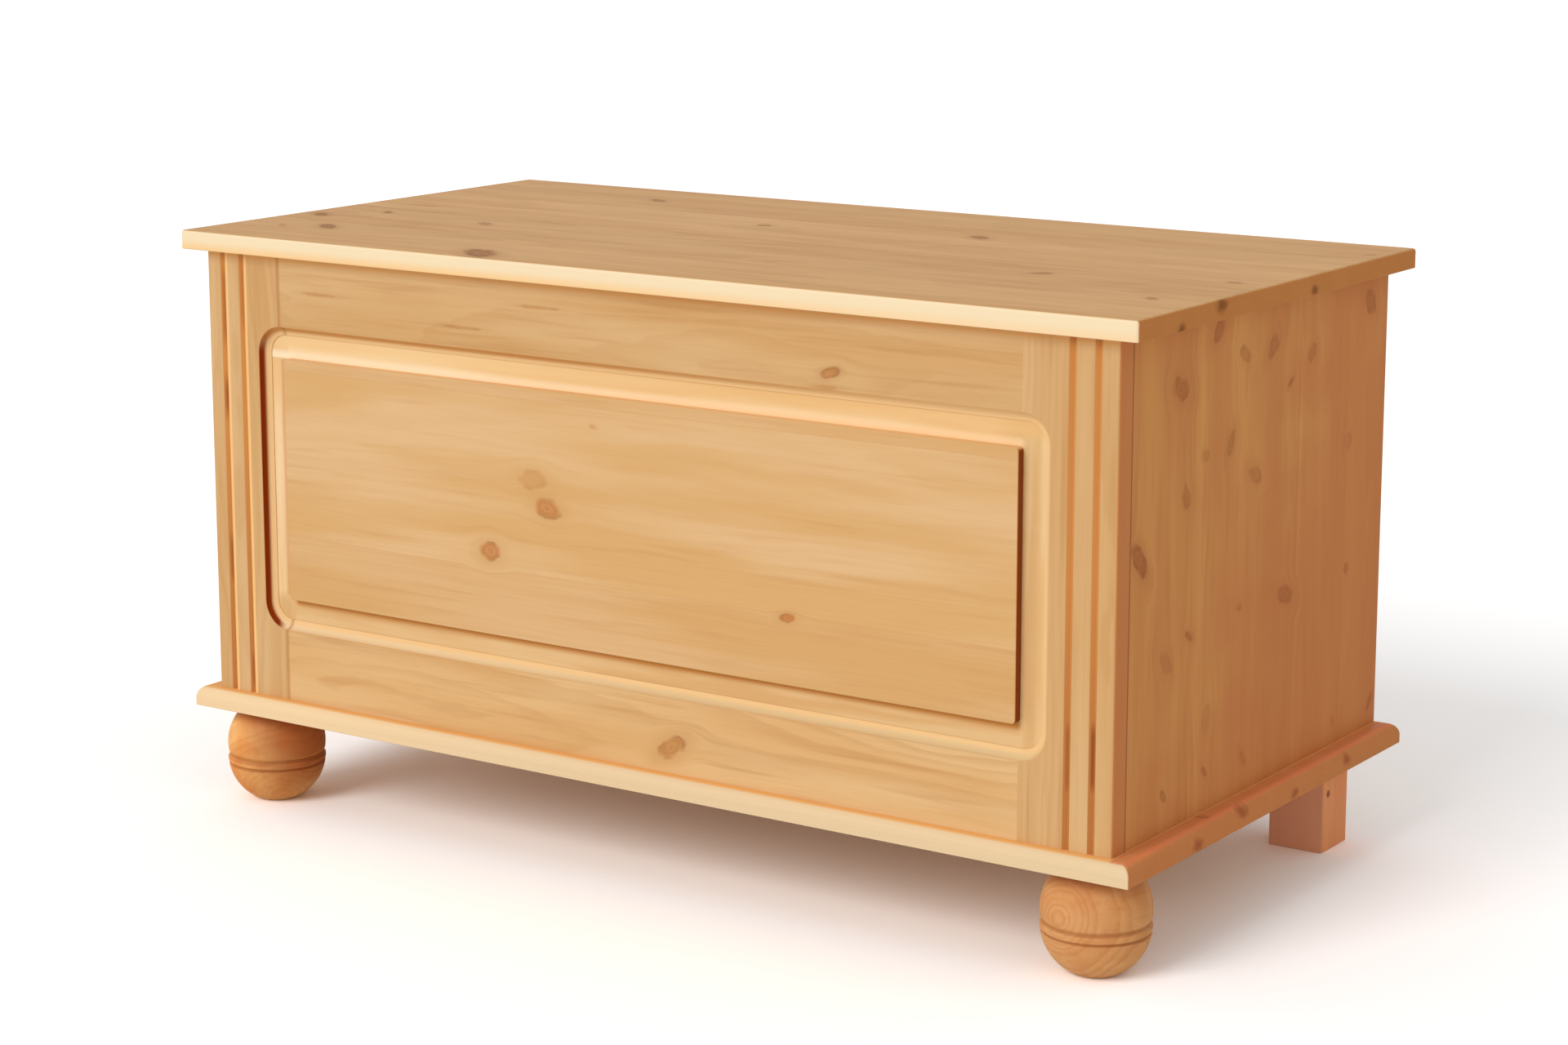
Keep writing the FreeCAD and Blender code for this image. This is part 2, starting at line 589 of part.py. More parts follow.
def make_lid():
    board = rounded_block(
        "lid_blank", ("plan_length", "plan_depth", "lid_thickness"), (0, "-plan_depth / 2", LID_BOTTOM),
        [(upright, "lid_round"), (all_top, "lid_round"), (all_bottom, "arris")])
    node("lid_board", cut("lid_board", board, [batten_screw_holes, lid_leaf_holes]))
    for name, side in SIDES.items():
        blank = rounded_block(
            f"{name}_batten_blank", ("batten_width", f"{BATTEN_END} - {BATTEN_START}", "batten_thickness"),
            (f"{side} * {BATTEN_X}", BATTEN_START, f"{LID_BOTTOM} - batten_thickness"),
            [(bottom_lengthwise, "batten_round")])
        label = f"lid_batten_{name}"
        node(label, cut(label, blank, [batten_screw_holes, pivot_holes]))


def knuckles(name, x, steps, radius, shorten):
    """Every other knuckle along a hinge: shorten is taken off both ends of each."""
    pitch = "(hinge_length / knuckle_count)"
    length = f"{pitch} - 2 * ({shorten})"
    rods = []
    for step in steps:
        start = f"{x} - hinge_length / 2 + {step} * {pitch} + {shorten}"
        rods.append(rod(f"{name}{step}", radius, length, (start, HINGE_Y, HINGE_Z), "+x"))
    return rods


def make_hinges():
    count = int(sheet.get("knuckle_count"))
    leaves = {
        "chest": (range(0, count, 2), range(1, count, 2), chest_leaf_holes),
        "lid": (range(1, count, 2), range(0, count, 2), lid_leaf_holes),
    }
    for name, side in SIDES.items():
        x = f"{side} * {HINGE_X}"
        plates = {
            "chest": rounded_block(
                f"{name}_chest_plate", ("hinge_length", "leaf_thickness", "leaf_width"),
                (x, BODY_BACK, f"{HINGE_Z} - leaf_width"), [(bottom_lengthwise, "leaf_corner")]),
            "lid": rounded_block(
                f"{name}_lid_plate", ("hinge_length", "leaf_width", "leaf_thickness"),
                (x, f"{HINGE_Y} - leaf_width", f"{LID_BOTTOM} - leaf_thickness"),
                [(upright_front, "leaf_corner")]),
        }
        for leaf, (own, others, holes) in leaves.items():
            stem = f"{name}_{leaf}"
            solid = joined(f"{stem}_solid", [plates[leaf]] + knuckles(
                f"{stem}_knuckle", x, own, "knuckle_radius", "knuckle_play / 2"))
            room = knuckles(f"{stem}_room", x, others, "knuckle_radius + knuckle_play", "-knuckle_play / 2")
            bore = rod(f"{stem}_bore", "hinge_pin_radius + pin_play", "hinge_length + 2 * overrun",
                       (f"{x} - hinge_length / 2 - overrun", HINGE_Y, HINGE_Z), "+x")
            label = f"hinge_{leaf}_leaf_{name}"
            node(label, cut(label, solid, room + [bore, holes]))
        pin_start = (f"{x} - hinge_length / 2", HINGE_Y, HINGE_Z)
        node(f"hinge_pin_{name}", rod(f"{name}_pin", "hinge_pin_radius", "hinge_length", pin_start, "+x"))


def make_stays():
    """Slotted arms, drawn hanging from their pivot along -Z and then turned towards the guide screw."""
    shut = "2 * stay_reach * sin(stay_start / 2)"
    wide = "2 * stay_reach * sin((stay_start + lid_swing) / 2)"
    half_slot = "(stay_bolt_radius + slot_play)"
    top = f"({shut} - slot_end_play)"
    low = f"({wide} + slot_end_play)"
    face = "-arm_thickness / 2"
    beyond = f"{face} - overrun"
    through = "arm_thickness + 2 * overrun"
    for name, side in SIDES.items():
        arm = joined(f"{name}_arm", [
            block(f"{name}_arm_bar", ("arm_thickness", "arm_width", low), (0, "-arm_width / 2", f"-{low}")),
            rod(f"{name}_arm_head", "arm_width / 2", "arm_thickness", (face, 0, 0), "+x"),
            rod(f"{name}_arm_tail", "arm_width / 2", "arm_thickness", (face, 0, f"-{low}"), "+x"),
        ])
        slot = joined(f"{name}_slot", [
            block(f"{name}_slot_bar", (through, f"2 * {half_slot}", f"{low} - {top}"),
                  (0, f"-{half_slot}", f"-{low}")),
            rod(f"{name}_slot_top", half_slot, through, (beyond, 0, f"-{top}"), "+x"),
            rod(f"{name}_slot_low", half_slot, through, (beyond, 0, f"-{low}"), "+x"),
        ])
        eye = rod(f"{name}_eye", "stay_bolt_radius + pin_play", through, (beyond, 0, 0), "+x")
        label = f"stay_arm_{name}"
        item = cut(label, arm, [slot, eye])
        place(item, (f"{side} * ({INNER_HALF} - batten_gap / 2)", PIVOT_Y, PIVOT_Z), "-y")
        item.setExpression("Placement.Rotation.Angle", formula(ARM_ANGLE))
        node(label, item)


make_base_board()
make_feet()
make_legs()
make_front_frame()
make_front_panel()
make_walls()
make_lid()
make_hinges()
make_stays()
doc.recompute()

faults = [item.Name for item in doc.Objects if {"Invalid", "Error"} & set(item.State)]
faults += [item.Label for item in nodes if item.Shape.isNull() or not item.Shape.isValid()]
if faults:
    raise SystemExit(f"failed: {faults}")

os.makedirs("parts", exist_ok=True)
for item in nodes:
    item.Shape.exportStep(os.path.join("parts", f"{item.Label}.step"))
    print(f"{item.Label}: {len(item.Shape.Solids)} solid(s), {item.Shape.Volume / 1000:.1f} cm3")
print(f"{len(nodes)} nodes")
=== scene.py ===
# %% [markdown]
# A pine storage chest
#
# The chest's solids come from a CAD program and are exact, but they have no looks. This lesson
# gives every board its own piece of pine: growth rings, glued strips, knots, fibre and a thin
# lacquer that is nearly matt. Then it sets up a plain studio. The wood is worked out in
# millimetres, as a joiner measures, and the studio in metres, as Blender does.

import math

import bpy
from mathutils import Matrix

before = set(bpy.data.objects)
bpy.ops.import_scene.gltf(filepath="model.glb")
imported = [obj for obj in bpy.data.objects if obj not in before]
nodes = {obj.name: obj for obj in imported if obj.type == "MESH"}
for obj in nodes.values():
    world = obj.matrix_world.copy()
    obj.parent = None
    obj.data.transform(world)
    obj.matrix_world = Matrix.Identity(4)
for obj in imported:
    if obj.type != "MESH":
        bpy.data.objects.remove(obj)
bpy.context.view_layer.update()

# %% [markdown]
# Places on the chest
#
# A burnt line or a run of finish has its place on one board. A typed number would leave that line
# behind when the CAD model changes, so a place that follows from the size of a board is read from
# its solid.

# %% Measure a piece
def reach(label, axis):
    """The lowest and the highest place of a piece along one axis of the chest, in millimetres."""
    places = [round(1000 * corner["XYZ".index(axis)], 3) for corner in nodes[label].bound_box]
    return min(places), max(places)


print("heights of the lid's underside and top:", *reach("lid_board", "Z"))

# %% [markdown]
# Colours
#
# Blender mixes colours in linear light, while a colour that is read off a screen is squeezed to
# suit the eye. Undoing that squeeze once, in one helper, lets every wood tone below be written
# as the 0 to 255 numbers that any paint program shows.

# %% Colours as a paint program shows them
def seen(red, green, blue):
    """A colour as a paint program shows it, in the numbers that Blender mixes."""
    def linear(value):
        share = value / 255
        return share / 12.92 if share <= 0.04045 else ((share + 0.055) / 1.055) ** 2.4
    return (linear(red), linear(green), linear(blue), 1.0)


print("pale pine is", [round(value, 3) for value in seen(222, 178, 122)])

# %% [markdown]
# A workbench for nodes
#
# A material is a tree of nodes. Adding a node, setting it and joining it takes three or four
# lines each time, which hides the idea behind it. The bench below does that in one call, and
# every call gives back an output that the next call can use, so a tree reads like a sum. Most
# calls make masks: numbers from 0 to 1 that say how strongly a mark shows at each place.

# %% The bench
class Bench:
    def __init__(self, tree):
        self.tree = tree

    def join(self, value, socket):
        if isinstance(value, bpy.types.NodeSocket):
            self.tree.links.new(value, socket)
        else:
            socket.default_value = value

    def node(self, kind, inputs=(), **settings):
        made = self.tree.nodes.new(kind)
        for name, value in settings.items():
            setattr(made, name, value)
        for key, value in dict(inputs).items():
            self.join(value, made.inputs[key])
        return made

    def placed(self, group, inputs):
        return self.node("ShaderNodeGroup", inputs, node_tree=group).outputs

    def math(self, operation, *values):
        return self.node("ShaderNodeMath", enumerate(values), operation=operation).outputs[0]

    def vector(self, operation, *values):
        made = self.node("ShaderNodeVectorMath", enumerate(values), operation=operation)
        plain = operation in ("LENGTH", "DOT_PRODUCT")
        return made.outputs["Value" if plain else "Vector"]

    def point(self, x, y, z):
        return self.node("ShaderNodeCombineXYZ", enumerate((x, y, z))).outputs[0]

    def split(self, point):
        return self.node("ShaderNodeSeparateXYZ", {0: point}).outputs

    def scaled(self, value, low, high):
        """Turns 0 to 1 into low to high."""
        made = self.node("ShaderNodeMapRange", {"Value": value, "To Min": low, "To Max": high})
        return made.outputs["Result"]

    def step(self, value, low, high):
        """Goes softly from 0 at low to 1 at high, or the other way round when low is the larger."""
        made = self.node("ShaderNodeMapRange", {"Value": value, "From Min": low, "From Max": high},
                         interpolation_type="SMOOTHSTEP")
        return made.outputs["Result"]

    def near(self, value, middle, close, far):
        """Is 1 within close of the middle and 0 beyond far from it."""
        gap = self.math("ABSOLUTE", self.math("SUBTRACT", value, middle))
        return self.step(gap, far, close)

    def all_of(self, mask, *others):
        """Is 1 only where every mask is: the masks multiplied."""
        for other in others:
            mask = self.math("MULTIPLY", mask, other)
        return mask

    def between(self, value, rise, fall):
        """Goes from 0 to 1 along the rise and back to 0 along the fall. Both are pairs of values."""
        return self.all_of(self.step(value, *rise), self.step(value, *reversed(fall)))

    def chance(self, number):
        """A value from 0 to 1 by chance, which is always the same for the same whole number."""
        made = self.node("ShaderNodeTexWhiteNoise", {"W": number}, noise_dimensions="1D")
        return made.outputs["Value"]

    def noise(self, point, stretch, detail=2.0, roughness=0.5):
        """Clouds from 0 to 1. stretch says how often they change per millimetre, in each direction."""
        place = self.vector("MULTIPLY", point, stretch)
        made = self.node("ShaderNodeTexNoise",
                         {"Vector": place, "Scale": 1.0, "Detail": detail, "Roughness": roughness})
        return made.outputs[0]

    def mix(self, share, first, second):
        made = self.node("ShaderNodeMix", data_type="RGBA")
        colours = [socket for socket in made.inputs if socket.type == "RGBA"]
        self.join(share, made.inputs["Factor"])
        self.join(first, colours[0])
        self.join(second, colours[1])
        return next(socket for socket in made.outputs if socket.type == "RGBA")


print("the bench can do:", ", ".join(name for name in vars(Bench) if not name.startswith("_")))

# %% [markdown]
# Groups
#
# What several boards have in common, such as rings and knots, is built once as a node group and
# placed in each material with that board's own values. A group is a tree with named sockets, so
# it is filled at the same kind of bench.

# %% Start and finish a group
def node_group(title, takes, gives):
    """An empty group with named sockets: a bench, the outputs of its entry, the inputs of its exit."""
    tree = bpy.data.node_groups.new(title, "ShaderNodeTree")
    kinds = {3: "NodeSocketVector", 4: "NodeSocketColor"}
    for name, value in takes.items():
        kind = "NodeSocketFloat" if isinstance(value, float) else kinds[len(value)]
        tree.interface.new_socket(name, in_out="INPUT", socket_type=kind).default_value = value
    for name, kind in gives.items():
        tree.interface.new_socket(name, in_out="OUTPUT", socket_type=f"NodeSocket{kind}")
    bench = Bench(tree)
    return bench, tree.nodes.new("NodeGroupInput").outputs, tree.nodes.new("NodeGroupOutput").inputs


def give(bench, leave, values):
    """Joins the values to the exit of the group and hands over the group."""
    for name, value in values.items():
        bench.join(value, leave[name])
    print("group", bench.tree.name, "with", len(bench.tree.nodes), "nodes")
    return bench.tree


# %% [markdown]
# Growth rings
#
# A tree adds one ring a year: a broad pale one in spring and a thin darker one in late summer.
# A board is a slice through those rings, so its pattern follows from where it lay in the trunk.
# A painted stripe pattern could only fit one face. Here the rings are modelled as tubes round
# the pith, the middle of the trunk, and each face of a board cuts them at its own angle: the
# long face gets flames and stripes, and the sawn end gets arcs. No trunk is a true cylinder, so
# a slow noise bends the tubes by Wander and a quick one by the width of a ring. Points are in
# millimetres, with the grain along the first direction.

# %% Rings round the pith
bench, taken, leave = node_group(
    "growth rings",
    {"Point": (0, 0, 0), "Pith": (0, 0, -90), "Ring Width": 3.0, "Wander": 14.0, "Seed": (0, 0, 0)},
    {"Late Wood": "Float"})
ring_place = bench.vector("ADD", taken["Point"], taken["Seed"])
from_pith = bench.vector("MULTIPLY", bench.vector("SUBTRACT", taken["Point"], taken["Pith"]), (0, 1, 1))
slow_bend = bench.math("SUBTRACT", bench.noise(ring_place, (0.0024, 0.011, 0.011), 1.0), 0.5)
quick_bend = bench.math("SUBTRACT", bench.noise(ring_place, (0.012, 0.05, 0.05), 2.0), 0.5)
distance = bench.vector("LENGTH", from_pith)
distance = bench.math("MULTIPLY_ADD", slow_bend, taken["Wander"], distance)
distance = bench.math("MULTIPLY_ADD", quick_bend, taken["Ring Width"], distance)
years = bench.math("DIVIDE", distance, taken["Ring Width"])
uneven_years = bench.noise(bench.point(bench.math("MULTIPLY", years, 0.31), 0.0, 0.0), (1, 1, 1), 1.0)
years = bench.math("MULTIPLY_ADD", uneven_years, 4.0, years)
season = bench.math("FRACT", years)
late = bench.between(season, (0.25, 0.86), (0.9, 1.0))
year_strength = bench.scaled(bench.chance(bench.math("FLOOR", years)), 0.45, 1.0)
growth_rings = give(bench, leave, {"Late Wood": bench.all_of(late, year_strength)})

# %% [markdown]
# Knots
#
# A knot is the foot of a branch that the trunk grew around. It is darker and redder than the
# wood, bark darkens parts of its outline, and the grain parts round it like water round a pier.
# The saw never meets a branch quite squarely, so each knot leans its own way. Each knot adds to
# what the knots before it gave, so one board can have as many as it needs: the group hands on
# the sideways push on the grain and three masks, for the core, its rim and the halo round it.
# Distances are counted in radii of the knot, so its outline lies at about 1.

# %% One knot
bench, taken, leave = node_group(
    "knot",
    {"Point": (0, 0, 0), "Middle": (0, 0, 0), "Radius": 8.0, "Length Share": 1.3, "Lean": 0.0,
     "Strength": 1.0, "Push": 0.0, "Core": 0.0, "Rim": 0.0, "Halo": 0.0},
    {"Push": "Float", "Core": "Float", "Rim": "Float", "Halo": "Float"})
offset = bench.split(bench.vector("SUBTRACT", taken["Point"], taken["Middle"]))
along = bench.math("MULTIPLY_ADD", offset["Y"], taken["Lean"], offset["X"])
flat = bench.point(bench.math("DIVIDE", along, taken["Length Share"]), offset["Y"], 0.0)
radii = bench.math("DIVIDE", bench.vector("LENGTH", flat), taken["Radius"])
outline = bench.math("SUBTRACT", bench.noise(taken["Point"], (0.11, 0.11, 0.0), 2.0), 0.5)
radii = bench.math("MULTIPLY_ADD", outline, 0.7, bench.math("MULTIPLY", radii, 1.15))
branch_rings = bench.scaled(bench.math("SINE", bench.math("MULTIPLY", radii, 13.0)), 0.62, 0.86)
broken = bench.step(bench.noise(taken["Point"], (0.07, 0.09, 0.0), 1.0), 0.38, 0.62)
core = bench.all_of(bench.step(radii, 1.15, 0.7), branch_rings, taken["Strength"])
rim = bench.all_of(bench.near(radii, 0.95, 0.02, 0.34), broken, taken["Strength"])
halo = bench.all_of(bench.step(radii, 2.6, 0.9), taken["Strength"])
nearness = bench.all_of(bench.step(radii, 3.4, 0.6), 0.8)
knot = give(bench, leave, {
    "Push": bench.math("MULTIPLY_ADD", nearness, offset["Y"], taken["Push"]),
    "Core": bench.math("MAXIMUM", core, taken["Core"]),
    "Rim": bench.math("MAXIMUM", rim, taken["Rim"]),
    "Halo": bench.math("MAXIMUM", halo, taken["Halo"]),
})

# %% [markdown]
# Glued strips
#
# Wide pine boards are glued up from strips a hand wide, because one wide plank would warp. Each
# strip comes from another trunk, so its rings start anew and its tone is a little different,
# and a hairline shows where two strips meet. The group tells each strip apart by rounding down
# the place across the board, and gives the point as the strip sees it. The two shifts move that
# point along the trunk by the strip's number, and through the trunk by chance.

# %% Strips of a wide board
SHIFT_ALONG = 731.0
SHIFT_THROUGH = 36.0
bench, taken, leave = node_group(
    "glued strips",
    {"Point": (0, 0, 0), "Strip Width": 80.0, "Seed": 0.0},
    {"Point": "Vector", "Tint": "Float", "Seam": "Float"})
place = bench.split(taken["Point"])
strips = bench.math("ADD", bench.math("DIVIDE", place["Y"], taken["Strip Width"]), taken["Seed"])
strip_number = bench.math("FLOOR", strips)
tint = bench.chance(strip_number)
strip_share = bench.math("ADD", bench.math("FRACT", strips), bench.scaled(tint, -0.9, -0.1))
strip_point = bench.point(
    bench.math("MULTIPLY_ADD", strip_number, SHIFT_ALONG, place["X"]),
    bench.math("MULTIPLY", strip_share, taken["Strip Width"]),
    bench.math("MULTIPLY_ADD", tint, SHIFT_THROUGH, place["Z"]))
to_seam = bench.math("MULTIPLY", bench.math("PINGPONG", strips, 0.5), taken["Strip Width"])
glued_strips = give(bench, leave, {
    "Point": strip_point,
    "Tint": tint,
    "Seam": bench.step(to_seam, 0.7, 0.1),
})

# %% [markdown]
# From masks to wood
#
# Everything so far is a mask from 0 to 1. This group turns the masks into the colour, the
# roughness and the relief of lacquered pine. It lays them over each other in the order in which
# they lie on the real board: pale wood with broad warm bands, then what darkens it, from late
# wood to the ends, where finish soaks in, and last the knots. A board chooses five tones: the
# pale and the warm wood, the dark of the late wood, the knots and their bark.

# %% Five tones
def pine_tones(pale, warm, dark, knot=(160, 100, 58), bark=(120, 66, 34)):
    """The tones of a board by name. Each is given as a paint program shows it."""
    names = ("Pale", "Warm", "Dark", "Knot", "Bark")
    return {name: seen(*tone) for name, tone in zip(names, (pale, warm, dark, knot, bark))}


PLAIN_PINE = pine_tones((226, 182, 126), (222, 168, 108), (186, 124, 66))
print("tones of plain pine:", ", ".join(PLAIN_PINE))

# %% Lacquered pine
bench, taken, leave = node_group(
    "lacquered pine",
    {"Point": (0, 0, 0), "Late Wood": 0.0, "Grain": 0.5, "Tint": 0.5, "Seam": 0.0, "Core": 0.0,
     "Rim": 0.0, "Halo": 0.0, "End": 0.0, **PLAIN_PINE},
    {"Colour": "Color", "Roughness": "Float", "Height": "Float"})
broad = bench.noise(taken["Point"], (0.0035, 0.030, 0.030), 2.0, 0.55)
fibre = bench.noise(taken["Point"], (0.020, 0.85, 0.85), 3.0, 0.6)
streak = bench.noise(taken["Point"], (0.008, 0.16, 0.16), 2.0)
colour = bench.mix(bench.step(broad, 0.34, 0.66), taken["Pale"], taken["Warm"])
darker = ((taken["Late Wood"], taken["Grain"]), (bench.step(streak, 0.52, 0.78), 0.30),
          (bench.step(fibre, 0.45, 0.8), 0.16), (taken["Tint"], 0.20), (taken["Seam"], 0.22),
          (taken["End"], 0.42), (taken["Halo"], 0.30))
for mask, strength in darker:
    colour = bench.mix(bench.all_of(mask, strength), colour, taken["Dark"])
colour = bench.mix(taken["Core"], colour, taken["Knot"])
colour = bench.mix(bench.all_of(taken["Rim"], 0.55), colour, taken["Bark"])
relief = bench.math("MULTIPLY", fibre, 0.5)
for name, height in (("Late Wood", 0.35), ("Seam", -0.6), ("Rim", -0.5)):
    relief = bench.math("MULTIPLY_ADD", taken[name], height, relief)
dullness = bench.math("MULTIPLY_ADD", fibre, 0.12, 0.42)
dullness = bench.math("MULTIPLY_ADD", taken["End"], 0.12, dullness)
lacquered_pine = give(bench, leave, {"Colour": colour, "Roughness": dullness, "Height": relief})

# %% [markdown]
# One board, one material
#
# Each board gets a material of its own, so that no two boards share a knot. The recipe is the
# same: turn the place on the chest so that the grain comes first, part it round the knots, cut
# it into strips if the board is wide, and ask for the rings there. What differs is a short list
# of values. The finish on top of the colour stays open, so that the front frame can add the
# darker lines of its moulding before the shader is closed.

# %% Empty materials
MILLIMETRES = (1000.0, 1000.0, 1000.0)


def empty_material(title):
    """A material with nothing in its tree, and the bench to fill it at."""
    material = bpy.data.materials.new(title)
    material.use_nodes = True
    material.node_tree.nodes.clear()
    return material, Bench(material.node_tree)


def on_chest(bench):
    """The spot on the chest in millimetres, and the way the surface faces there."""
    source = bench.node("ShaderNodeTexCoord").outputs
    return bench.vector("MULTIPLY", source["Object"], MILLIMETRES), source["Normal"]


def dress(material, *labels):
    """Gives the material to the named pieces of the chest, in place of what they had."""
    for label in labels:
        slots = nodes[label].data.materials
        slots.clear()
        slots.append(material)
    print(material.name, "with", len(material.node_tree.nodes), "nodes on", ", ".join(labels))


# %% [markdown]
# Some values are the same for every board. Lacquered pine shines little, its fibre is a twentieth
# of a millimetre deep, and a knot shows by seven tenths through a tone that lies over it.

# %% One piece of pine
SHINE = 0.04
RELIEF_DEPTH = 0.05
RELIEF_STRENGTH = 0.35
KNOTS_SHOW = 0.7


class Board:
    """One piece of pine: its material, the spot on the chest and the way it faces there."""

    def __init__(self, title):
        self.material, self.bench = empty_material(title)
        self.spot, self.facing = on_chest(self.bench)

    def show(self, point, end, pith, ring_width, wander, seed, grain_strength, masks):
        """Cuts the rings at the point, whose first direction is the grain, and colours the wood there."""
        bench = self.bench
        rings = bench.placed(growth_rings, {
            "Point": point, "Pith": (0, *pith), "Ring Width": ring_width, "Wander": wander,
            "Seed": (seed * 97.0, seed * 13.0, seed * 7.0)})
        wood = bench.placed(lacquered_pine, {
            "Point": bench.vector("ADD", point, (seed * 41.0, seed * 5.0, 0)),
            "Late Wood": rings["Late Wood"], "Grain": grain_strength, "End": end, **masks})
        self.colour, self.roughness, self.height = wood["Colour"], wood["Roughness"], wood["Height"]
        self.cover = bench.math("MULTIPLY_ADD", masks.get("Core", 0.0), -KNOTS_SHOW, 1.0)

    def lay(self, mask, tone, strength=1.0):
        """Lays another tone over the colour where the mask is. Knots show through it."""
        share = self.bench.all_of(mask, strength, self.cover)
        self.colour = self.bench.mix(share, self.colour, tone)

    def close(self, *labels):
        """Adds the shader and gives the finished material to the named pieces of the chest."""
        bench = self.bench
        bump = bench.node("ShaderNodeBump", {
            "Strength": RELIEF_STRENGTH, "Distance": RELIEF_DEPTH / 1000, "Height": self.height})
        shader = bench.node("ShaderNodeBsdfPrincipled", {
            "Base Color": self.colour, "Roughness": self.roughness, "Normal": bump.outputs[0],
            "Specular IOR Level": SHINE})
        bench.node("ShaderNodeOutputMaterial", {"Surface": shader.outputs[0]})
        dress(self.material, *labels)


# %% A sawn board
MOST_LEAN = 0.9


def sawn(title, grain, pith, ring_width, wander, seed, grain_strength, strip_width=None, knots=(),
         tones=PLAIN_PINE):
    """A sawn board. grain names the chest's axes along and across the grain and through the board,
    such as "XZY". A knot is (along, across, radius, length share, strength)."""
    board = Board(title)
    bench = board.bench
    axes = bench.split(board.spot)
    turned = bench.point(*[axes[axis] for axis in grain])
    masks = {"Core": 0.0, "Rim": 0.0, "Halo": 0.0}
    push = 0.0
    for along, across, radius, length_share, strength in knots:
        outputs = bench.placed(knot, {
            "Point": turned, "Middle": (along, across, 0), "Radius": radius,
            "Length Share": length_share, "Lean": MOST_LEAN * math.sin(along + across),
            "Strength": strength, "Push": push, **masks})
        masks = {name: outputs[name] for name in masks}
        push = outputs["Push"]
    parts = bench.split(turned)
    point = bench.point(parts["X"], bench.math("SUBTRACT", parts["Y"], push), parts["Z"])
    if strip_width:
        outputs = bench.placed(
            glued_strips, {"Point": point, "Strip Width": strip_width, "Seed": seed * 0.37})
        point = outputs["Point"]
        masks = {**masks, "Tint": outputs["Tint"], "Seam": outputs["Seam"]}
    end = bench.step(bench.math("ABSOLUTE", bench.split(board.facing)[grain[0]]), 0.6, 0.85)
    board.show(point, end, pith, ring_width, wander, seed, grain_strength, {**masks, **tones})
    return board


# %% Knots on an edge
def edge_knots(board, mask, tone, places):
    """Small knots on the right edge of a board. Each place is (from front to back, upwards, radius)."""
    bench = board.bench
    ragged = bench.noise(board.spot, (0.0, 0.16, 0.16), 2.0)
    for depth, height, radius in places:
        gap = bench.vector("SUBTRACT", board.spot, (0, depth, height))
        distance = bench.vector("LENGTH", bench.vector("MULTIPLY", gap, (0, 0.8, 1.2)))
        outline = bench.math("MULTIPLY_ADD", ragged, radius, distance)
        board.lay(bench.all_of(mask, bench.step(outline, radius * 1.5, radius * 0.6)), tone, 0.7)


# %% [markdown]
# The lid
#
# The lid board is what one sees and touches most. Its grain runs lengthwise, the top is a calm
# beige with a few knots near the corners, and the front edge is very pale, partly pale wood and
# partly a painted highlight, with a little more colour low down. The front edge is told by the
# way it faces, so its mask also holds on the rounded corner.

# %% Lid board
lid = sawn(
    "pine of the lid", "XYZ", (0, -120), ring_width=3.2, wander=26, seed=3, strip_width=110,
    grain_strength=0.2,
    tones=pine_tones((217, 170, 113), (209, 159, 102), (172, 118, 62), (144, 80, 8), (110, 56, 6)),
    knots=[(-140.5, -198, 19, 0.85, 1.0), (-343.5, -139.5, 11, 0.9, 1.0), (-402, -81, 8.5, 0.9, 1.0),
           (-366, -40, 6, 0.8, 0.9), (-378, -154, 5.5, 0.8, 0.4), (-372, 12, 4, 4.0, 0.45),
           (-251.3, -55.8, 8, 0.9, 0.6), (385, -127, 6.5, 0.7, 0.6), (396, -25, 4.5, 1.4, 0.5),
           (413, 164, 4, 0.8, 0.8), (120, 90, 9, 1.0, 0.9), (-60, 60, 6, 1.1, 0.7),
           (260, -60, 7, 0.9, 0.8), (-230, 150, 8, 1.0, 0.8)])

# %% Edges of the lid
LID_UNDERSIDE = reach("lid_board", "Z")[0]
bench = lid.bench
spot = bench.split(lid.spot)
facing = bench.split(lid.facing)
lid_right = bench.step(facing["X"], 0.5, 0.8)
lid.lay(lid_right, seen(200, 123, 58), 0.75)
edge_knots(lid, lid_right, seen(112, 60, 24), [(-102, 459, 10), (-160, 450, 7), (44, 452, 7)])
lid_front = bench.step(facing["Y"], -0.45, -0.8)
# Painted highlight: the front edge is laid very pale, partly pale wood and partly a highlight.
lid.lay(lid_front, seen(249, 228, 190), 0.88)
lower_front = bench.all_of(lid_front, bench.step(spot["Z"], LID_UNDERSIDE + 8.7, LID_UNDERSIDE + 0.3))
lower_tone = bench.mix(bench.step(spot["X"], -150, 350), seen(246, 198, 132), seen(247, 210, 160))
lid.lay(lower_front, lower_tone, 0.75)
lid.close("lid_board")

# %% [markdown]
# The base
#
# The base board has the same plan as the lid. Its upper edge is a wide round, the front nose is
# pale, partly pale wood and partly a painted highlight, and the narrow top that stands out beyond
# the walls has a warm honey tone, which is painted shade and warm light thrown back by the walls.
# Along the ends that tone is redder, as on the walls.

# %% Base board
base = sawn(
    "pine of the base", "XYZ", (0, 160), ring_width=3.4, wander=20, seed=11, strip_width=110,
    grain_strength=0.4,
    tones=pine_tones((224, 178, 122), (218, 160, 100), (182, 116, 62), (150, 92, 54), (120, 66, 36)),
    knots=[(413, -89, 5, 1.2, 1.0), (180, 30, 10, 1.3, 1.0), (-120, -60, 8, 1.4, 1.0),
           (-300, 80, 9, 1.3, 0.9), (60, 140, 7, 1.3, 0.8)])

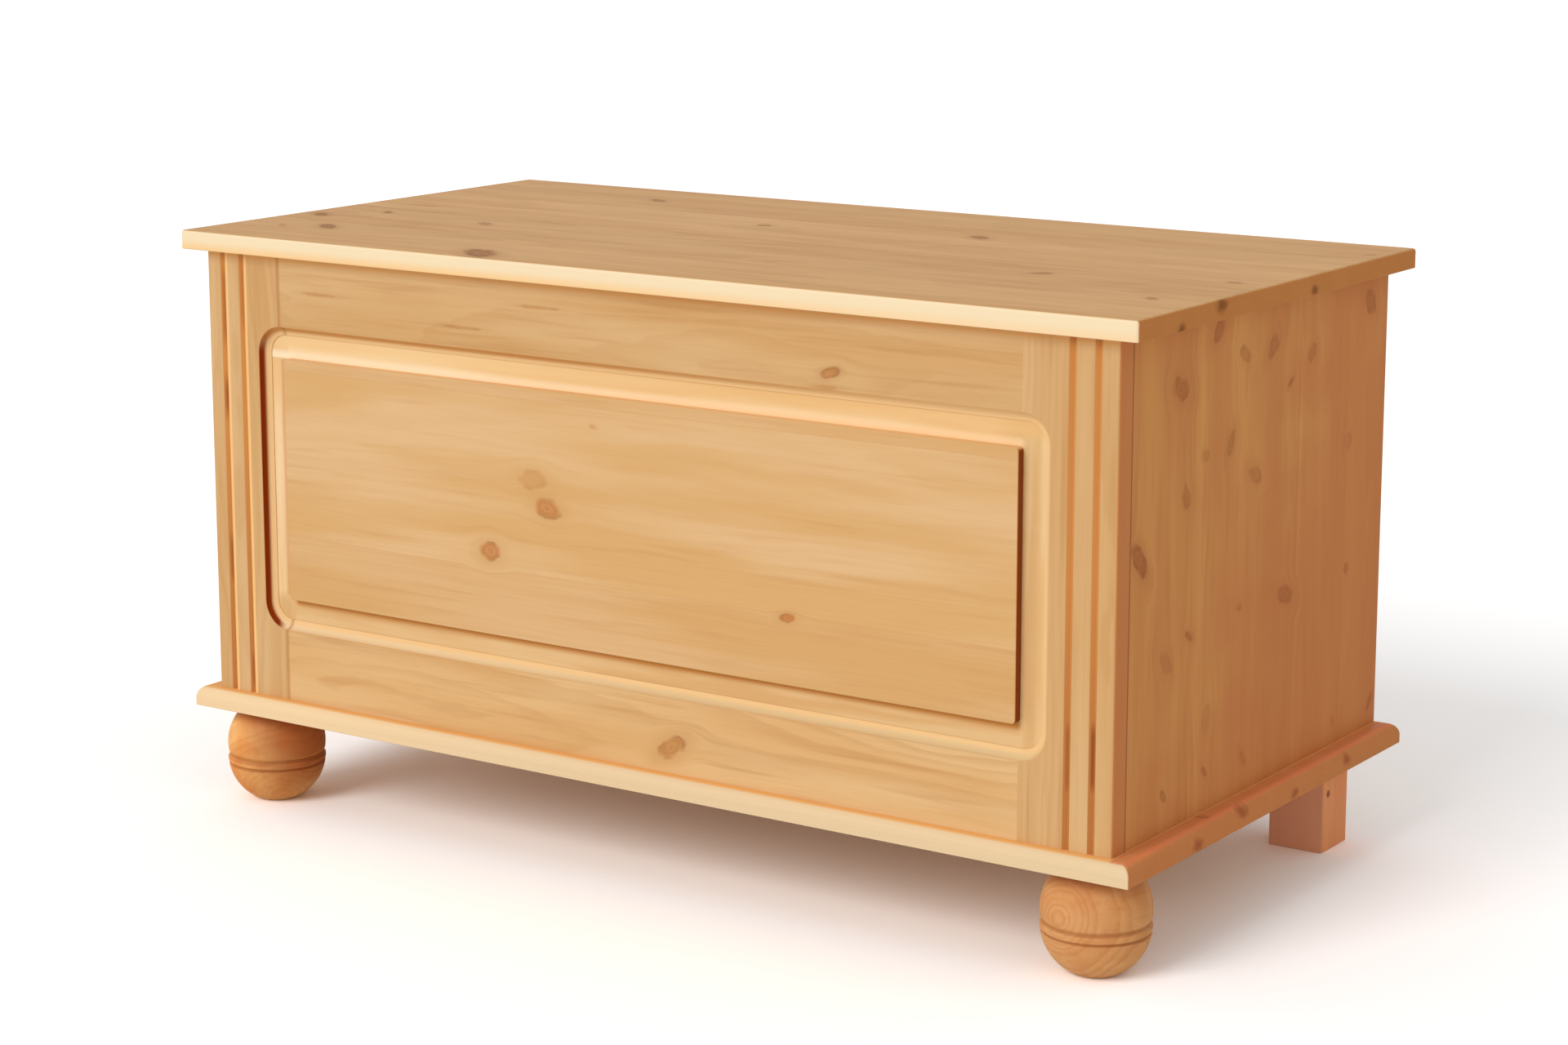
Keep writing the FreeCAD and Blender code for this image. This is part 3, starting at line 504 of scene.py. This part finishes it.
# %% Edges of the base
END_FACE = reach("end_panel_right", "X")[1]
bench = base.bench
spot = bench.split(base.spot)
facing = bench.split(base.facing)
base_front = bench.step(facing["Y"], -0.35, -0.6)
base_top = bench.step(facing["Z"], 0.72, 0.95)
base_right = bench.step(facing["X"], 0.1, 0.3)
beyond_end = bench.step(spot["X"], END_FACE, END_FACE + 2)
nose_tone = bench.mix(bench.step(spot["X"], -350, -50), seen(243, 214, 170), seen(232, 207, 167))
# Painted shade and warm light thrown back by the walls, on the top that stands out beyond them.
base.lay(base_top, bench.mix(beyond_end, seen(238, 174, 102), seen(216, 130, 80)), 0.8)
base.lay(base_right, bench.mix(base_top, seen(206, 128, 72), seen(230, 134, 84)), 0.8)
edge_knots(base, base_right, seen(156, 76, 44), [(-118, 83, 9), (-48, 89, 9), (34, 83, 7), (124, 87, 8)])
# The pale nose is partly pale wood and partly a painted highlight.
base.lay(base_front, nose_tone, 0.85)
base.close("base_board")

# %% [markdown]
# The moulded front
#
# The front is a frame of two upright stiles and two rails round a raised panel. Router bits cut
# the V flutes and the hollow moulding. Finish soaks into the flutes and turns them orange, and
# where the cutter dwelt it scorched them. The rest is painted light and shade. The hollow is
# painted paler than the face, against the shade in it. The left wall, which faces away from the
# lamp, is painted a dark red brown shade, and the wall above it a brown shade. The ledge that
# faces up and the lit right wall get duller tones, against the light they catch, and a pale strip
# right of the flutes on the left stile is a painted highlight. Those places are found from how
# far a point lies behind the front face and from the way it faces. Along the top of the frame,
# close under the lid, a warm tone is painted into the lid's shadow. One group gives the masks,
# and the two stiles and two rails share it.

# %% Places of the moulding
FRONT, FRAME_BACK = reach("front_rail_top", "Y")
FRAME_THICKNESS = FRAME_BACK - FRONT
RAIL_END = reach("front_rail_top", "X")[1]
BODY_TOP = reach("front_rail_top", "Z")[1]
OPENING_HALF = reach("front_panel", "X")[1]
OPENING_LOW, OPENING_TOP = reach("front_panel", "Z")
INNER_FLUTE, OUTER_FLUTE = 371.0, 390.5
print("the opening is", 2 * OPENING_HALF, "by", OPENING_TOP - OPENING_LOW, "mm")

# %% Flutes and their scorched places
# A scorched place is (middle of its flute, height, half its length, strength).
SCORCHES = ((-OUTER_FLUTE, 405.0, 26.0, 0.6), (-OUTER_FLUTE, 332.0, 12.0, 0.9),
            (-OUTER_FLUTE, 201.0, 18.0, 0.8), (-INNER_FLUTE, 415.0, 22.0, 0.4),
            (-INNER_FLUTE, 112.0, 14.0, 0.8), (OUTER_FLUTE, 161.0, 22.0, 1.0),
            (INNER_FLUTE, 158.0, 24.0, 0.7))
mark_names = ("Flute", "Scorch", "Flute Highlight", "Left Wall Shade", "Hollow", "Brow", "Joint", "Ledge", "Lit Wall",
              "Top", "Edge", "Corner Joint")
bench, taken, leave = node_group(
    "router marks and painted light", {"Spot": (0, 0, 0), "Facing": (0, 0, -1)}, {name: "Float" for name in mark_names})
spot = bench.split(taken["Spot"])
facing = bench.split(taken["Facing"])
behind = bench.math("SUBTRACT", spot["Y"], FRONT)
in_stile = bench.step(bench.math("ABSOLUTE", spot["X"]), OPENING_HALF + 2, OPENING_HALF + 3)
off_corner = bench.near(spot["X"], 0.0, END_FACE - 10, END_FACE - 8)
flute = bench.all_of(in_stile, off_corner, bench.between(behind, (0.05, 0.4), (4.0, 6.0)))
scorch = bench.all_of(bench.step(spot["Z"], 320.0, 120.0), 0.4)
for middle, height, half_length, strength in SCORCHES:
    across = bench.near(spot["X"], middle, 0.8, 3.0)
    along = bench.near(spot["Z"], height, half_length - 8, half_length + 12)
    scorch = bench.math("MAXIMUM", scorch, bench.all_of(across, along, strength))
# Painted highlight: a pale strip right of each flute on the left stile.
from_flute = [bench.math("ADD", spot["X"], middle) for middle in (INNER_FLUTE, OUTER_FLUTE)]
flute_highlights = [bench.between(gap, (0.2, 0.9), (4.2, 5.6)) for gap in from_flute]

# %% The hollow and the edges of the frame
in_opening = bench.math("SUBTRACT", 1.0, in_stile)
# Painted light and shade in the hollow: the masks below pick its walls by the way they face.
hollow = bench.all_of(in_opening, bench.step(behind, 0.1, 0.9))
# Painted shade: the left wall faces away from the lamp and is laid dark red brown.
left_wall = bench.all_of(bench.step(facing["X"], 0.15, 0.5), bench.step(behind, 6.2, 4.0),
                         bench.step(spot["Z"], OPENING_TOP + 3, OPENING_TOP - 23))
upper_wall = bench.all_of(bench.step(facing["Z"], -0.25, -0.6), bench.step(spot["X"], 330, -120))
edge = bench.all_of(bench.step(facing["X"], 0.5, 0.8), bench.step(spot["X"], END_FACE - 7, END_FACE - 5))
corner_joint = bench.step(behind, FRAME_THICKNESS - 1.4, FRAME_THICKNESS - 0.2)
router_marks_and_painted_light = give(bench, leave, {
    "Flute": flute,
    "Scorch": scorch,
    "Flute Highlight": bench.math("MAXIMUM", *flute_highlights),
    "Left Wall Shade": bench.all_of(hollow, left_wall),
    "Hollow": hollow,
    "Brow": bench.all_of(hollow, upper_wall),
    "Ledge": bench.all_of(hollow, bench.step(facing["Z"], 0.25, 0.7)),
    "Lit Wall": bench.all_of(hollow, bench.step(facing["X"], -0.2, -0.6)),
    "Joint": bench.near(spot["X"], -RAIL_END, 0.3, 2.6),
    # Painted shadow: a warm tone along the top of the frame, under the lid.
    "Top": bench.step(spot["Z"], BODY_TOP - 8, BODY_TOP - 1),
    "Edge": edge,
    "Corner Joint": bench.all_of(edge, corner_joint),
})

# %% [markdown]
# The tones are laid one over the other: first the warm painted shadow under the lid, then the
# painted light and shade of the hollow and the colour of the flutes with the painted highlight
# beside them, and last the joints and the side edge, which nothing covers.

# %% Stiles and rails
FRONT_TONES = pine_tones((221, 181, 129), (214, 169, 114), (182, 123, 68), (178, 112, 50), (140, 78, 30))


def front_board(title, label, grain, pith, seed, knots=(), wander=16, grain_strength=0.28,
                tones=FRONT_TONES):
    """A board of the front frame with the marks of the router and its painted light and shade laid over
    its pine.
    """
    board = sawn(title, grain, pith, ring_width=3.4, wander=wander, seed=seed,
                 grain_strength=grain_strength, knots=knots, tones=tones)
    bench = board.bench
    marks = bench.placed(router_marks_and_painted_light, {"Spot": board.spot, "Facing": board.facing})
    from_left = bench.step(bench.split(board.spot)["X"], -250, 50)
    ledge_tone = bench.mix(from_left, seen(234, 205, 162), seen(219, 191, 144))
    flute_tone = bench.mix(marks["Scorch"], seen(212, 142, 74), seen(158, 80, 32))
    # Painted shadow: a warm tone along the top, under the lid.
    board.lay(marks["Top"], seen(250, 184, 108), 0.75)
    # Painted light and shade: the hollow paler, the ledge and lit wall duller, the upper wall brown.
    board.lay(marks["Hollow"], seen(242, 200, 142), 0.85)
    board.lay(marks["Ledge"], ledge_tone, 0.8)
    board.lay(marks["Lit Wall"], seen(224, 184, 130), 0.8)
    board.lay(marks["Brow"], seen(208, 142, 72), 0.8)
    # Painted shade: the left wall of the hollow, dark red brown.
    board.lay(marks["Left Wall Shade"], seen(138, 50, 6), 1.0)
    board.lay(marks["Flute"], flute_tone, 0.9)
    # Painted highlight: the pale strip right of the left flutes.
    board.lay(marks["Flute Highlight"], seen(254, 202, 132), 0.75)
    board.lay(marks["Joint"], seen(176, 112, 60), 0.5)
    board.lay(marks["Edge"], seen(204, 123, 64), 0.85)
    board.lay(marks["Corner Joint"], seen(150, 84, 46), 0.8)
    board.close(label)


front_board("pine of the left stile", "front_stile_left", "ZXY", (-380, -300), 21, grain_strength=0.24)
front_board("pine of the right stile", "front_stile_right", "ZXY", (400, -290), 25, grain_strength=0.2)
front_board("pine of the top rail", "front_rail_top", "XZY", (418, -330), 31, wander=22,
            grain_strength=0.16,
            knots=[(179, 404.5, 4.6, 1.6, 0.8), (176, 394, 1.6, 7.0, 0.4), (-79, 429, 1.5, 14.0, 0.5),
                   (-149, 408, 1.3, 15.0, 0.45), (-293, 421, 1.3, 14.0, 0.5)])
front_board("pine of the bottom rail", "front_rail_bottom", "XZY", (110, -320), 37, wander=22,
            knots=[(41, 114, 9.5, 1.2, 0.75)],
            tones={**FRONT_TONES, "Pale": seen(230, 190, 136), "Warm": seen(222, 176, 118)})

# %% [markdown]
# The raised panel
#
# The panel is a plate with a raised field. The plate round the field is painted pale, palest at
# the top and on the left and more golden low down and on the right, as painted light and shade,
# with faint streaks that run the way the cutter ran. Just above the field it is painted palest of
# all, against the shade there. The square shoulder of the field is painted lighter where it faces
# up, and on its right side it has the same painted dark shade as the moulding. A thin orange
# painted shadow line lies under its lower edge and a soft brown line beside its left edge. Two
# strips make up the field, with broad soft bands of pink and yellow and a few knots.

# %% Front panel
panel = sawn(
    "pine of the front panel", "XZY", (0, -120), ring_width=3.6, wander=24, seed=44, strip_width=132,
    grain_strength=0.12,
    tones=pine_tones((225, 184, 134), (217, 171, 113), (200, 145, 88), (186, 112, 54), (158, 94, 42)),
    knots=[(-127, 240, 8.0, 1.4, 0.9), (-71.3, 279, 8.5, 1.5, 0.85), (-85.5, 299, 8.0, 1.8, 0.35),
           (143, 225, 4.0, 1.8, 1.0), (-28, 345, 2.0, 1.8, 0.4)])
bench = panel.bench
spot = bench.split(panel.spot)
facing = bench.split(panel.facing)

# %% The plate round the field
FIELD_INSET = 25.0
PLATE_FACE = FRONT + 7.8
FIELD_FACE = reach("front_panel", "Y")[0]
FIELD_HALF = OPENING_HALF - FIELD_INSET
FIELD_LOW, FIELD_TOP = OPENING_LOW + FIELD_INSET, OPENING_TOP - FIELD_INSET
on_plate = bench.all_of(bench.step(spot["Y"], PLATE_FACE - 0.6, PLATE_FACE - 0.2),
                        bench.step(facing["Y"], -0.5, -0.8))
beside_field = bench.step(bench.math("ABSOLUTE", spot["X"]), FIELD_HALF - 2, FIELD_HALF + 3)
streaks = bench.mix(beside_field, bench.noise(panel.spot, (0.006, 0.0, 0.09), 2.0),
                    bench.noise(panel.spot, (0.09, 0.0, 0.006), 2.0))
low_or_right = bench.math("MAXIMUM", bench.step(spot["X"], FIELD_HALF - 30, FIELD_HALF + 2),
                          bench.step(spot["Z"], FIELD_LOW + 7, FIELD_LOW - 5))
low_or_right = bench.all_of(low_or_right, bench.step(spot["X"], OPENING_HALF - 3, OPENING_HALF - 17))
# Painted light and shade: the plate is paler at the top and left, more golden low and on the right.
plate_honey = bench.mix(low_or_right, seen(240, 197, 140), seen(218, 173, 116))
plate_pale = bench.mix(low_or_right, seen(249, 219, 172), seen(229, 192, 139))
panel.lay(on_plate, bench.mix(bench.step(streaks, 0.36, 0.64), plate_honey, plate_pale), 0.85)
print("the raised field is", 2 * FIELD_HALF, "by", FIELD_TOP - FIELD_LOW, "mm")

# %% Lines round the field
from_left = bench.step(spot["X"], -230, 130)
# Painted light: paler bands just above the field, against the shade there.
above_field = bench.all_of(on_plate, bench.step(spot["Z"], FIELD_TOP + 2, FIELD_TOP + 12))
panel.lay(above_field, bench.mix(from_left, seen(241, 203, 146), seen(232, 186, 124)), 0.75)
next_above = bench.all_of(
    on_plate, bench.between(spot["Z"], (FIELD_TOP - 1, FIELD_TOP), (FIELD_TOP + 2, FIELD_TOP + 8)),
    bench.step(spot["X"], FIELD_HALF + 3, FIELD_HALF - 3))
panel.lay(next_above, bench.mix(from_left, seen(255, 236, 200), seen(250, 216, 168)), 0.8)
# Painted shadow: an orange line under the field's lower edge.
under_field = bench.all_of(
    on_plate, bench.between(spot["Z"], (FIELD_LOW - 8, FIELD_LOW - 2.4), (FIELD_LOW, FIELD_LOW + 2)),
    bench.near(spot["X"], 0.0, FIELD_HALF - 3, FIELD_HALF + 2))
panel.lay(under_field, seen(204, 132, 52), 0.85)
left_of_field = bench.all_of(
    on_plate, bench.between(spot["Z"], (FIELD_LOW, FIELD_LOW + 3), (FIELD_TOP - 3, FIELD_TOP)),
    bench.step(spot["X"], -FIELD_HALF - 10.5, -FIELD_HALF - 6.5),
    bench.step(spot["X"], 0, -FIELD_HALF / 2))
panel.lay(left_of_field, seen(206, 142, 88), 0.65)

# %% Shoulder of the field
shoulder = bench.all_of(bench.step(spot["Y"], FIELD_FACE + 0.2, FIELD_FACE + 1.2),
                        bench.step(facing["Y"], -0.75, -0.3))
# Painted light: the shoulder is lighter where it faces up.
shoulder_tone = bench.mix(bench.step(facing["Z"], 0.0, 0.4), seen(222, 162, 100), seen(238, 194, 140))
panel.lay(shoulder, shoulder_tone, 0.6)
# Painted shade: the side of the shoulder that faces right and down, away from the lamp.
to_the_right = bench.vector("DOT_PRODUCT", panel.facing, (1.0, 0.0, -0.45))
panel.lay(bench.all_of(shoulder, bench.step(to_the_right, 0.2, 1.0)), seen(136, 62, 16), 0.95)
panel.close("front_panel")

# %% [markdown]
# The ends and the back
#
# The ends are glued up from upright strips. They are the knottiest boards of the chest and
# redder than the front. The back is not seen from the front, and such backs are made from the
# same strips, lying down.

# %% Finish of the ends
END_FRONT = reach("end_panel_right", "Y")[0]
END_TONES = pine_tones((221, 157, 87), (212, 142, 79), (185, 111, 60), (158, 88, 42), (124, 60, 26))
RED_BACK = seen(200, 119, 67)


def close_end(end, label, redness):
    """Reddens an end panel in clouds towards the back and the floor, and darkens its joint in front."""
    bench = end.bench
    spot = bench.split(end.spot)
    lowness = bench.math("MULTIPLY_ADD", spot["Z"], -0.6, spot["Y"])
    clouds = bench.noise(end.spot, (0.0, 0.008, 0.015), 3.0)
    cloudy = bench.math("MULTIPLY_ADD", clouds, 420.0, lowness)
    end.lay(bench.step(cloudy, -110, 180), RED_BACK, redness)
    end.lay(bench.step(spot["Y"], END_FRONT + 1.2, END_FRONT + 0.2), seen(150, 84, 46), 0.8)
    end.close(label)


# %% End panels
right_end = sawn(
    "pine of the right end", "ZYX", (0, 130), ring_width=3.4, wander=18, seed=52, strip_width=82,
    grain_strength=0.2, tones=END_TONES,
    knots=[(403, -123.6, 12, 0.75, 0.6), (436, -68, 9, 0.9, 0.6), (414, -28, 8, 0.8, 0.5),
           (414, 17, 10, 0.8, 0.5), (400, 81, 7, 1.0, 0.6), (384, 47, 4.5, 0.6, 1.0),
           (426, 180, 11, 0.9, 0.8), (353, -47, 7, 1.4, 0.6), (351, -84, 6, 0.7, 0.4),
           (325, -8, 11, 0.6, 0.5), (326, -112, 7, 1.3, 0.5), (325, 146, 8, 0.8, 0.5),
           (295, -180, 13, 0.8, 0.8), (227, 150, 4, 1.0, 0.8), (228, 45, 14, 0.55, 0.9),
           (119, -17, 6, 0.8, 0.6), (123, -77, 5, 0.7, 0.8), (120, -138, 5, 0.8, 0.6),
           (227, -105, 6, 0.6, 0.8), (232, -28, 4, 0.6, 0.6), (113, 200, 5, 1.0, 0.9),
           (112, 134, 4, 1.0, 0.5), (160, -75, 7, 1.8, 0.3), (214, -138, 9, 1.0, 0.35)])
close_end(right_end, "end_panel_right", 0.6)
left_end = sawn(
    "pine of the left end", "ZYX", (0, -130), ring_width=3.4, wander=18, seed=58, strip_width=84,
    grain_strength=0.2, tones=END_TONES,
    knots=[(390, 90, 9, 1.2, 0.8), (330, -40, 10, 1.1, 0.8), (240, 120, 6, 1.4, 0.6),
           (205, -120, 11, 1.2, 0.9), (150, 20, 5, 1.0, 0.8), (420, -150, 6, 1.2, 0.7),
           (300, 190, 5, 1.3, 0.8), (120, 170, 8, 1.2, 0.6), (260, -60, 4, 1.0, 0.9)])
close_end(left_end, "end_panel_left", 0.35)

# %% Back panel
back = sawn(
    "pine of the back", "XZY", (0, 120), ring_width=3.6, wander=22, seed=63, strip_width=92,
    grain_strength=0.4, tones=pine_tones((224, 180, 124), (216, 164, 104), (184, 122, 66)),
    knots=[(-250, 380, 9, 1.4, 0.9), (-60, 200, 11, 1.3, 1.0), (180, 330, 7, 1.5, 0.9),
           (310, 160, 10, 1.2, 0.9), (90, 410, 5, 1.4, 0.8), (-330, 150, 6, 1.3, 0.8),
           (-160, 290, 4, 1.5, 0.8), (260, 250, 5, 1.4, 0.7)])
back.close("back_panel")

# %% [markdown]
# Feet and legs
#
# The front feet are turned from one block each, with the grain running from front to back, so
# the rings show as wide arcs on the front of the ball. The rings are cut along an axis that goes
# through the foot at its own place and angle. Finish collects in the groove and in the fine line
# under it. The side of a foot that faces up and to the right, and its top under the base, are
# painted darker and redder as shade. The back legs are plain blocks of redder wood with upright
# grain, and the front of the right leg is painted lighter against the shade under the base.

# %% Turned feet
FOOT_TONES = pine_tones((238, 187, 128), (226, 166, 105), (193, 120, 66))
YELLOW_FOOT_TONES = {**FOOT_TONES, "Pale": seen(254, 198, 126), "Warm": seen(244, 162, 88)}
FOOT_X, FOOT_Y = (sum(reach("ball_foot_right", axis)) / 2 for axis in "XY")
FOOT_TOP = reach("ball_foot_right", "Z")[1]
# A line cut into the foot is (height, how far its tone spreads, strength).
FOOT_LINES = ((37.3, 2.6, 0.5), (30.4, 1.5, 0.6))


def turned_foot(title, label, middle, lean, ring_width, seed, grain_strength, redness, tones):
    """Rings round an axis that goes through middle and leans by two angles, sideways and upwards.
    The side that faces up and to the right is painted redder and darker, as shade."""
    foot = Board(title)
    bench = foot.bench
    sideways, upwards = (math.radians(angle) for angle in lean)
    sin_side, cos_side = math.sin(sideways), math.cos(sideways)
    sin_up, cos_up = math.sin(upwards), math.cos(upwards)
    grain_axis = (sin_side * cos_up, -cos_side * cos_up, sin_up)
    axes = (grain_axis, (cos_side, sin_side, 0), (-sin_side * sin_up, cos_side * sin_up, cos_up))
    place = bench.vector("SUBTRACT", foot.spot, middle)
    point = bench.point(*[bench.vector("DOT_PRODUCT", place, axis) for axis in axes])
    end = bench.math("ABSOLUTE", bench.vector("DOT_PRODUCT", foot.facing, grain_axis))
    foot.show(point, bench.step(end, 0.5, 1.0), (0, 0), ring_width, 9.0, seed, grain_strength, tones)
    # Painted shade: the side facing up and to the right, under the base, is darker and redder.
    shaded_side = bench.step(bench.vector("DOT_PRODUCT", foot.facing, (0.8, 0.0, 0.6)), -0.1, 0.8)
    foot.lay(shaded_side, seen(160, 76, 40), redness)
    height = bench.split(foot.spot)["Z"]
    for line_height, spread, strength in FOOT_LINES:
        foot.lay(bench.near(height, line_height, 0.4, spread), seen(150, 84, 40), strength)
    # Painted shade: the top of the foot, under the base, is darker.
    foot.lay(bench.step(height, FOOT_TOP - 16, FOOT_TOP - 2), seen(160, 88, 48), 0.6)
    foot.close(label)


turned_foot("turned pine of the left foot", "ball_foot_left", (-FOOT_X + 14, FOOT_Y, 17), (20, -24),
            6.0, 5, 0.25, 0.65, YELLOW_FOOT_TONES)
turned_foot("turned pine of the right foot", "ball_foot_right", (FOOT_X - 6, FOOT_Y, 43), (-4, 5),
            5.2, 8, 0.38, 0.1, FOOT_TONES)

# %% Back legs
RIGHT_LEG_FACE = reach("back_leg_right", "X")[1]
right_leg = sawn("pine of the right leg", "ZXY", (320, 230), ring_width=3.2, wander=10, seed=71,
                 grain_strength=0.25, tones=pine_tones((249, 170, 112), (245, 156, 104), (214, 126, 82)))
bench = right_leg.bench
front_or_back = bench.split(right_leg.facing)["Y"]
from_knot = bench.vector("SUBTRACT", right_leg.spot, (RIGHT_LEG_FACE, 161.7, 45.6))
# Painted light: the front face is lighter, against the shade under the base.
right_leg.lay(bench.step(front_or_back, -0.5, -0.8), seen(255, 184, 150), 0.75)
right_leg.lay(bench.step(front_or_back, 0.5, 0.8), seen(226, 160, 100), 0.75)
right_leg.lay(bench.step(bench.vector("LENGTH", from_knot), 4.0, 1.6), seen(120, 56, 34), 0.8)
right_leg.close("back_leg_right")
left_leg = sawn("pine of the left leg", "ZXY", (-420, 240), ring_width=3.2, wander=10, seed=77,
                grain_strength=0.3, tones=pine_tones((230, 166, 104), (222, 152, 92), (196, 122, 72)))
left_leg.close("back_leg_left")

# %% [markdown]
# Inside the chest
#
# Two battens keep the lid flat. They are hidden while the lid is shut, and they are the first
# thing one sees when it is open, so they get proper wood as well. Beech dowels are paler, with
# fine close rings.

# %% Battens and dowels
for side, name in ((-1, "left"), (1, "right")):
    batten = sawn(f"pine of the {name} batten", "YXZ", (side * 345, 380), ring_width=3.0, wander=12,
                  seed=84 + 3 * side, grain_strength=0.5, knots=[(side * 60, side * 362, 5, 1.5, 0.8)])
    batten.close(f"lid_batten_{name}")
dowel_wood = sawn("beech of the dowels", "XYZ", (0, -400), ring_width=1.6, wander=6, seed=91,
                  grain_strength=0.25,
                  tones=pine_tones((222, 188, 146), (212, 174, 130), (180, 134, 92)))
dowel_wood.close("frame_dowels", "front_dowels", "back_dowels")

# %% [markdown]
# Metal fittings
#
# Hinges, stays and screws are bought parts. Brass and bright zinc are told from painted grey by
# two things: they are fully metallic, and their gloss is uneven from brushing and handling. A
# fine noise that is stretched along the part does the brushing, and a broad one the handling.

# %% Brushed metal
bench, taken, leave = node_group(
    "brushed metal",
    {"Point": (0, 0, 0), "Brushing": (0.05, 2.0, 2.0), "Clean": seen(200, 200, 200),
     "Dulled": seen(150, 150, 150)},
    {"Colour": "Color", "Roughness": "Float", "Height": "Float"})
lines = bench.noise(taken["Point"], taken["Brushing"], 3.0)
tarnish = bench.step(bench.noise(taken["Point"], (0.09, 0.09, 0.09), 3.0), 0.4, 0.75)
brushed_metal = give(bench, leave, {
    "Colour": bench.mix(tarnish, taken["Clean"], taken["Dulled"]),
    "Roughness": bench.math("MULTIPLY_ADD", lines, 0.16, bench.scaled(tarnish, 0.16, 0.3)),
    "Height": lines,
})

# %% Hinges, stays and screws
SCRATCH_DEPTH = 0.02
SCRATCH_STRENGTH = 0.2


def metal(title, brushing, clean, dulled, *labels):
    """A metal that is brushed as often per millimetre as brushing says, in each direction."""
    material, bench = empty_material(title)
    look = bench.placed(brushed_metal, {
        "Point": on_chest(bench)[0], "Brushing": brushing, "Clean": clean, "Dulled": dulled})
    bump = bench.node("ShaderNodeBump", {
        "Strength": SCRATCH_STRENGTH, "Distance": SCRATCH_DEPTH / 1000, "Height": look["Height"]})
    shader = bench.node("ShaderNodeBsdfPrincipled", {
        "Base Color": look["Colour"], "Roughness": look["Roughness"], "Metallic": 1.0,
        "Normal": bump.outputs[0]})
    bench.node("ShaderNodeOutputMaterial", {"Surface": shader.outputs[0]})
    dress(material, *labels)


metal("polished brass of the hinges", (0.06, 2.2, 2.2), seen(226, 190, 112), seen(178, 138, 72),
      "hinge_chest_leaf_left", "hinge_chest_leaf_right", "hinge_lid_leaf_left", "hinge_lid_leaf_right",
      "hinge_pin_left", "hinge_pin_right", "hinge_chest_screws", "hinge_lid_screws")
metal("bright zinc of the stays", (2.2, 0.06, 0.4), seen(212, 214, 216), seen(168, 170, 174),
      "stay_arm_left", "stay_arm_right")
metal("bright zinc of the screws", (1.5, 1.5, 1.5), seen(206, 206, 204), seen(160, 160, 158),
      "base_screws", "foot_screws", "leg_screws", "lid_batten_screws", "stay_guide_screws",
      "stay_pivot_screws")

# %% [markdown]
# The studio
#
# A plain pale floor, an even pale surrounding and one large soft lamp from the front left: that
# is enough to read the moulding without hiding the wood under gloss. The surrounding lights the
# chest at little more than half strength, while the camera and shiny parts see it as plain white.
# The floor is white to the camera as well, and still takes the soft shadow.

# %% Surrounding light
AMBIENT = 0.60
world = bpy.data.worlds.new("pale studio")
bpy.context.scene.world = world
world.use_nodes = True
world.node_tree.nodes.clear()
bench = Bench(world.node_tree)
ray = bench.node("ShaderNodeLightPath").outputs
shiny = bench.math("MAXIMUM", ray["Is Glossy Ray"], ray["Is Transmission Ray"])
sees_white = bench.math("MAXIMUM", ray["Is Camera Ray"], shiny)
sky = bench.node("ShaderNodeBackground", {
    "Color": (1.0, 1.0, 1.0, 1.0), "Strength": bench.scaled(sees_white, AMBIENT, 1.0)})
bench.node("ShaderNodeOutputWorld", {"Surface": sky.outputs[0]})
print("surrounding light", AMBIENT)

# %% Soft lamp
LAMP_AZIMUTH, LAMP_HEIGHT = -12.0, 33.0
LAMP_STRENGTH, LAMP_SPREAD = 1.45, 32.0
lamp = bpy.data.lights.new("soft lamp", "SUN")
lamp.energy = LAMP_STRENGTH
lamp.angle = math.radians(LAMP_SPREAD)
lamp_stand = bpy.data.objects.new("soft lamp", lamp)
lamp_stand.rotation_euler = (math.radians(90 - LAMP_HEIGHT), 0, math.radians(LAMP_AZIMUTH))
bpy.context.scene.collection.objects.link(lamp_stand)
print("lamp from the left by", -LAMP_AZIMUTH, "degrees and", LAMP_HEIGHT, "degrees up")

# %% Floor
FLOOR_HALF = 40.0
FLOOR_SHADE, FLOOR_TO_CAMERA = 0.9, 1.32
corners = [(x * FLOOR_HALF, y * FLOOR_HALF, 0) for x, y in ((-1, -1), (1, -1), (1, 1), (-1, 1))]
floor_mesh = bpy.data.meshes.new("floor")
floor_mesh.from_pydata(corners, [], [(0, 1, 2, 3)])
floor = bpy.data.objects.new("floor", floor_mesh)
bpy.context.scene.collection.objects.link(floor)
floor_paint, bench = empty_material("matt white floor")
ray = bench.node("ShaderNodeLightPath").outputs
paint = bench.mix(ray["Is Camera Ray"], (FLOOR_SHADE, FLOOR_SHADE, FLOOR_SHADE, 1.0),
                  (FLOOR_TO_CAMERA, FLOOR_TO_CAMERA, FLOOR_TO_CAMERA, 1.0))
surface = bench.node("ShaderNodeBsdfDiffuse", {"Color": paint})
bench.node("ShaderNodeOutputMaterial", {"Surface": surface.outputs[0]})
floor_mesh.materials.append(floor_paint)
print("floor", 2 * FLOOR_HALF, "metres across")

# %% [markdown]
# The camera
#
# The photograph was taken from the front right with a long lens, less than three metres away and
# a little above the chest. Its upright edges are parallel, as a lens with a shift makes them, and
# a small shift comes close to that. The camera's place was found by trying which one puts the
# chest's corners where the photograph has them.

# %% Camera
CAMERA_PLACE = (1.45496, -2.15198, 0.79371)
CAMERA_AZIMUTH, CAMERA_DROP = 34.09, 10.71
camera_data = bpy.data.cameras.new("camera")
camera_data.sensor_fit = "HORIZONTAL"
camera_data.sensor_width = 36.0
camera_data.lens = 78.03
camera_data.shift_y = -0.05
camera = bpy.data.objects.new("camera", camera_data)
camera.location = CAMERA_PLACE
camera.rotation_euler = (math.radians(90 - CAMERA_DROP), 0, math.radians(CAMERA_AZIMUTH))
bpy.context.scene.collection.objects.link(camera)
bpy.context.scene.camera = camera
bpy.context.scene.view_settings.view_transform = "Standard"
print("camera", round(camera.location.length, 2), "metres from the middle of the chest's floor")
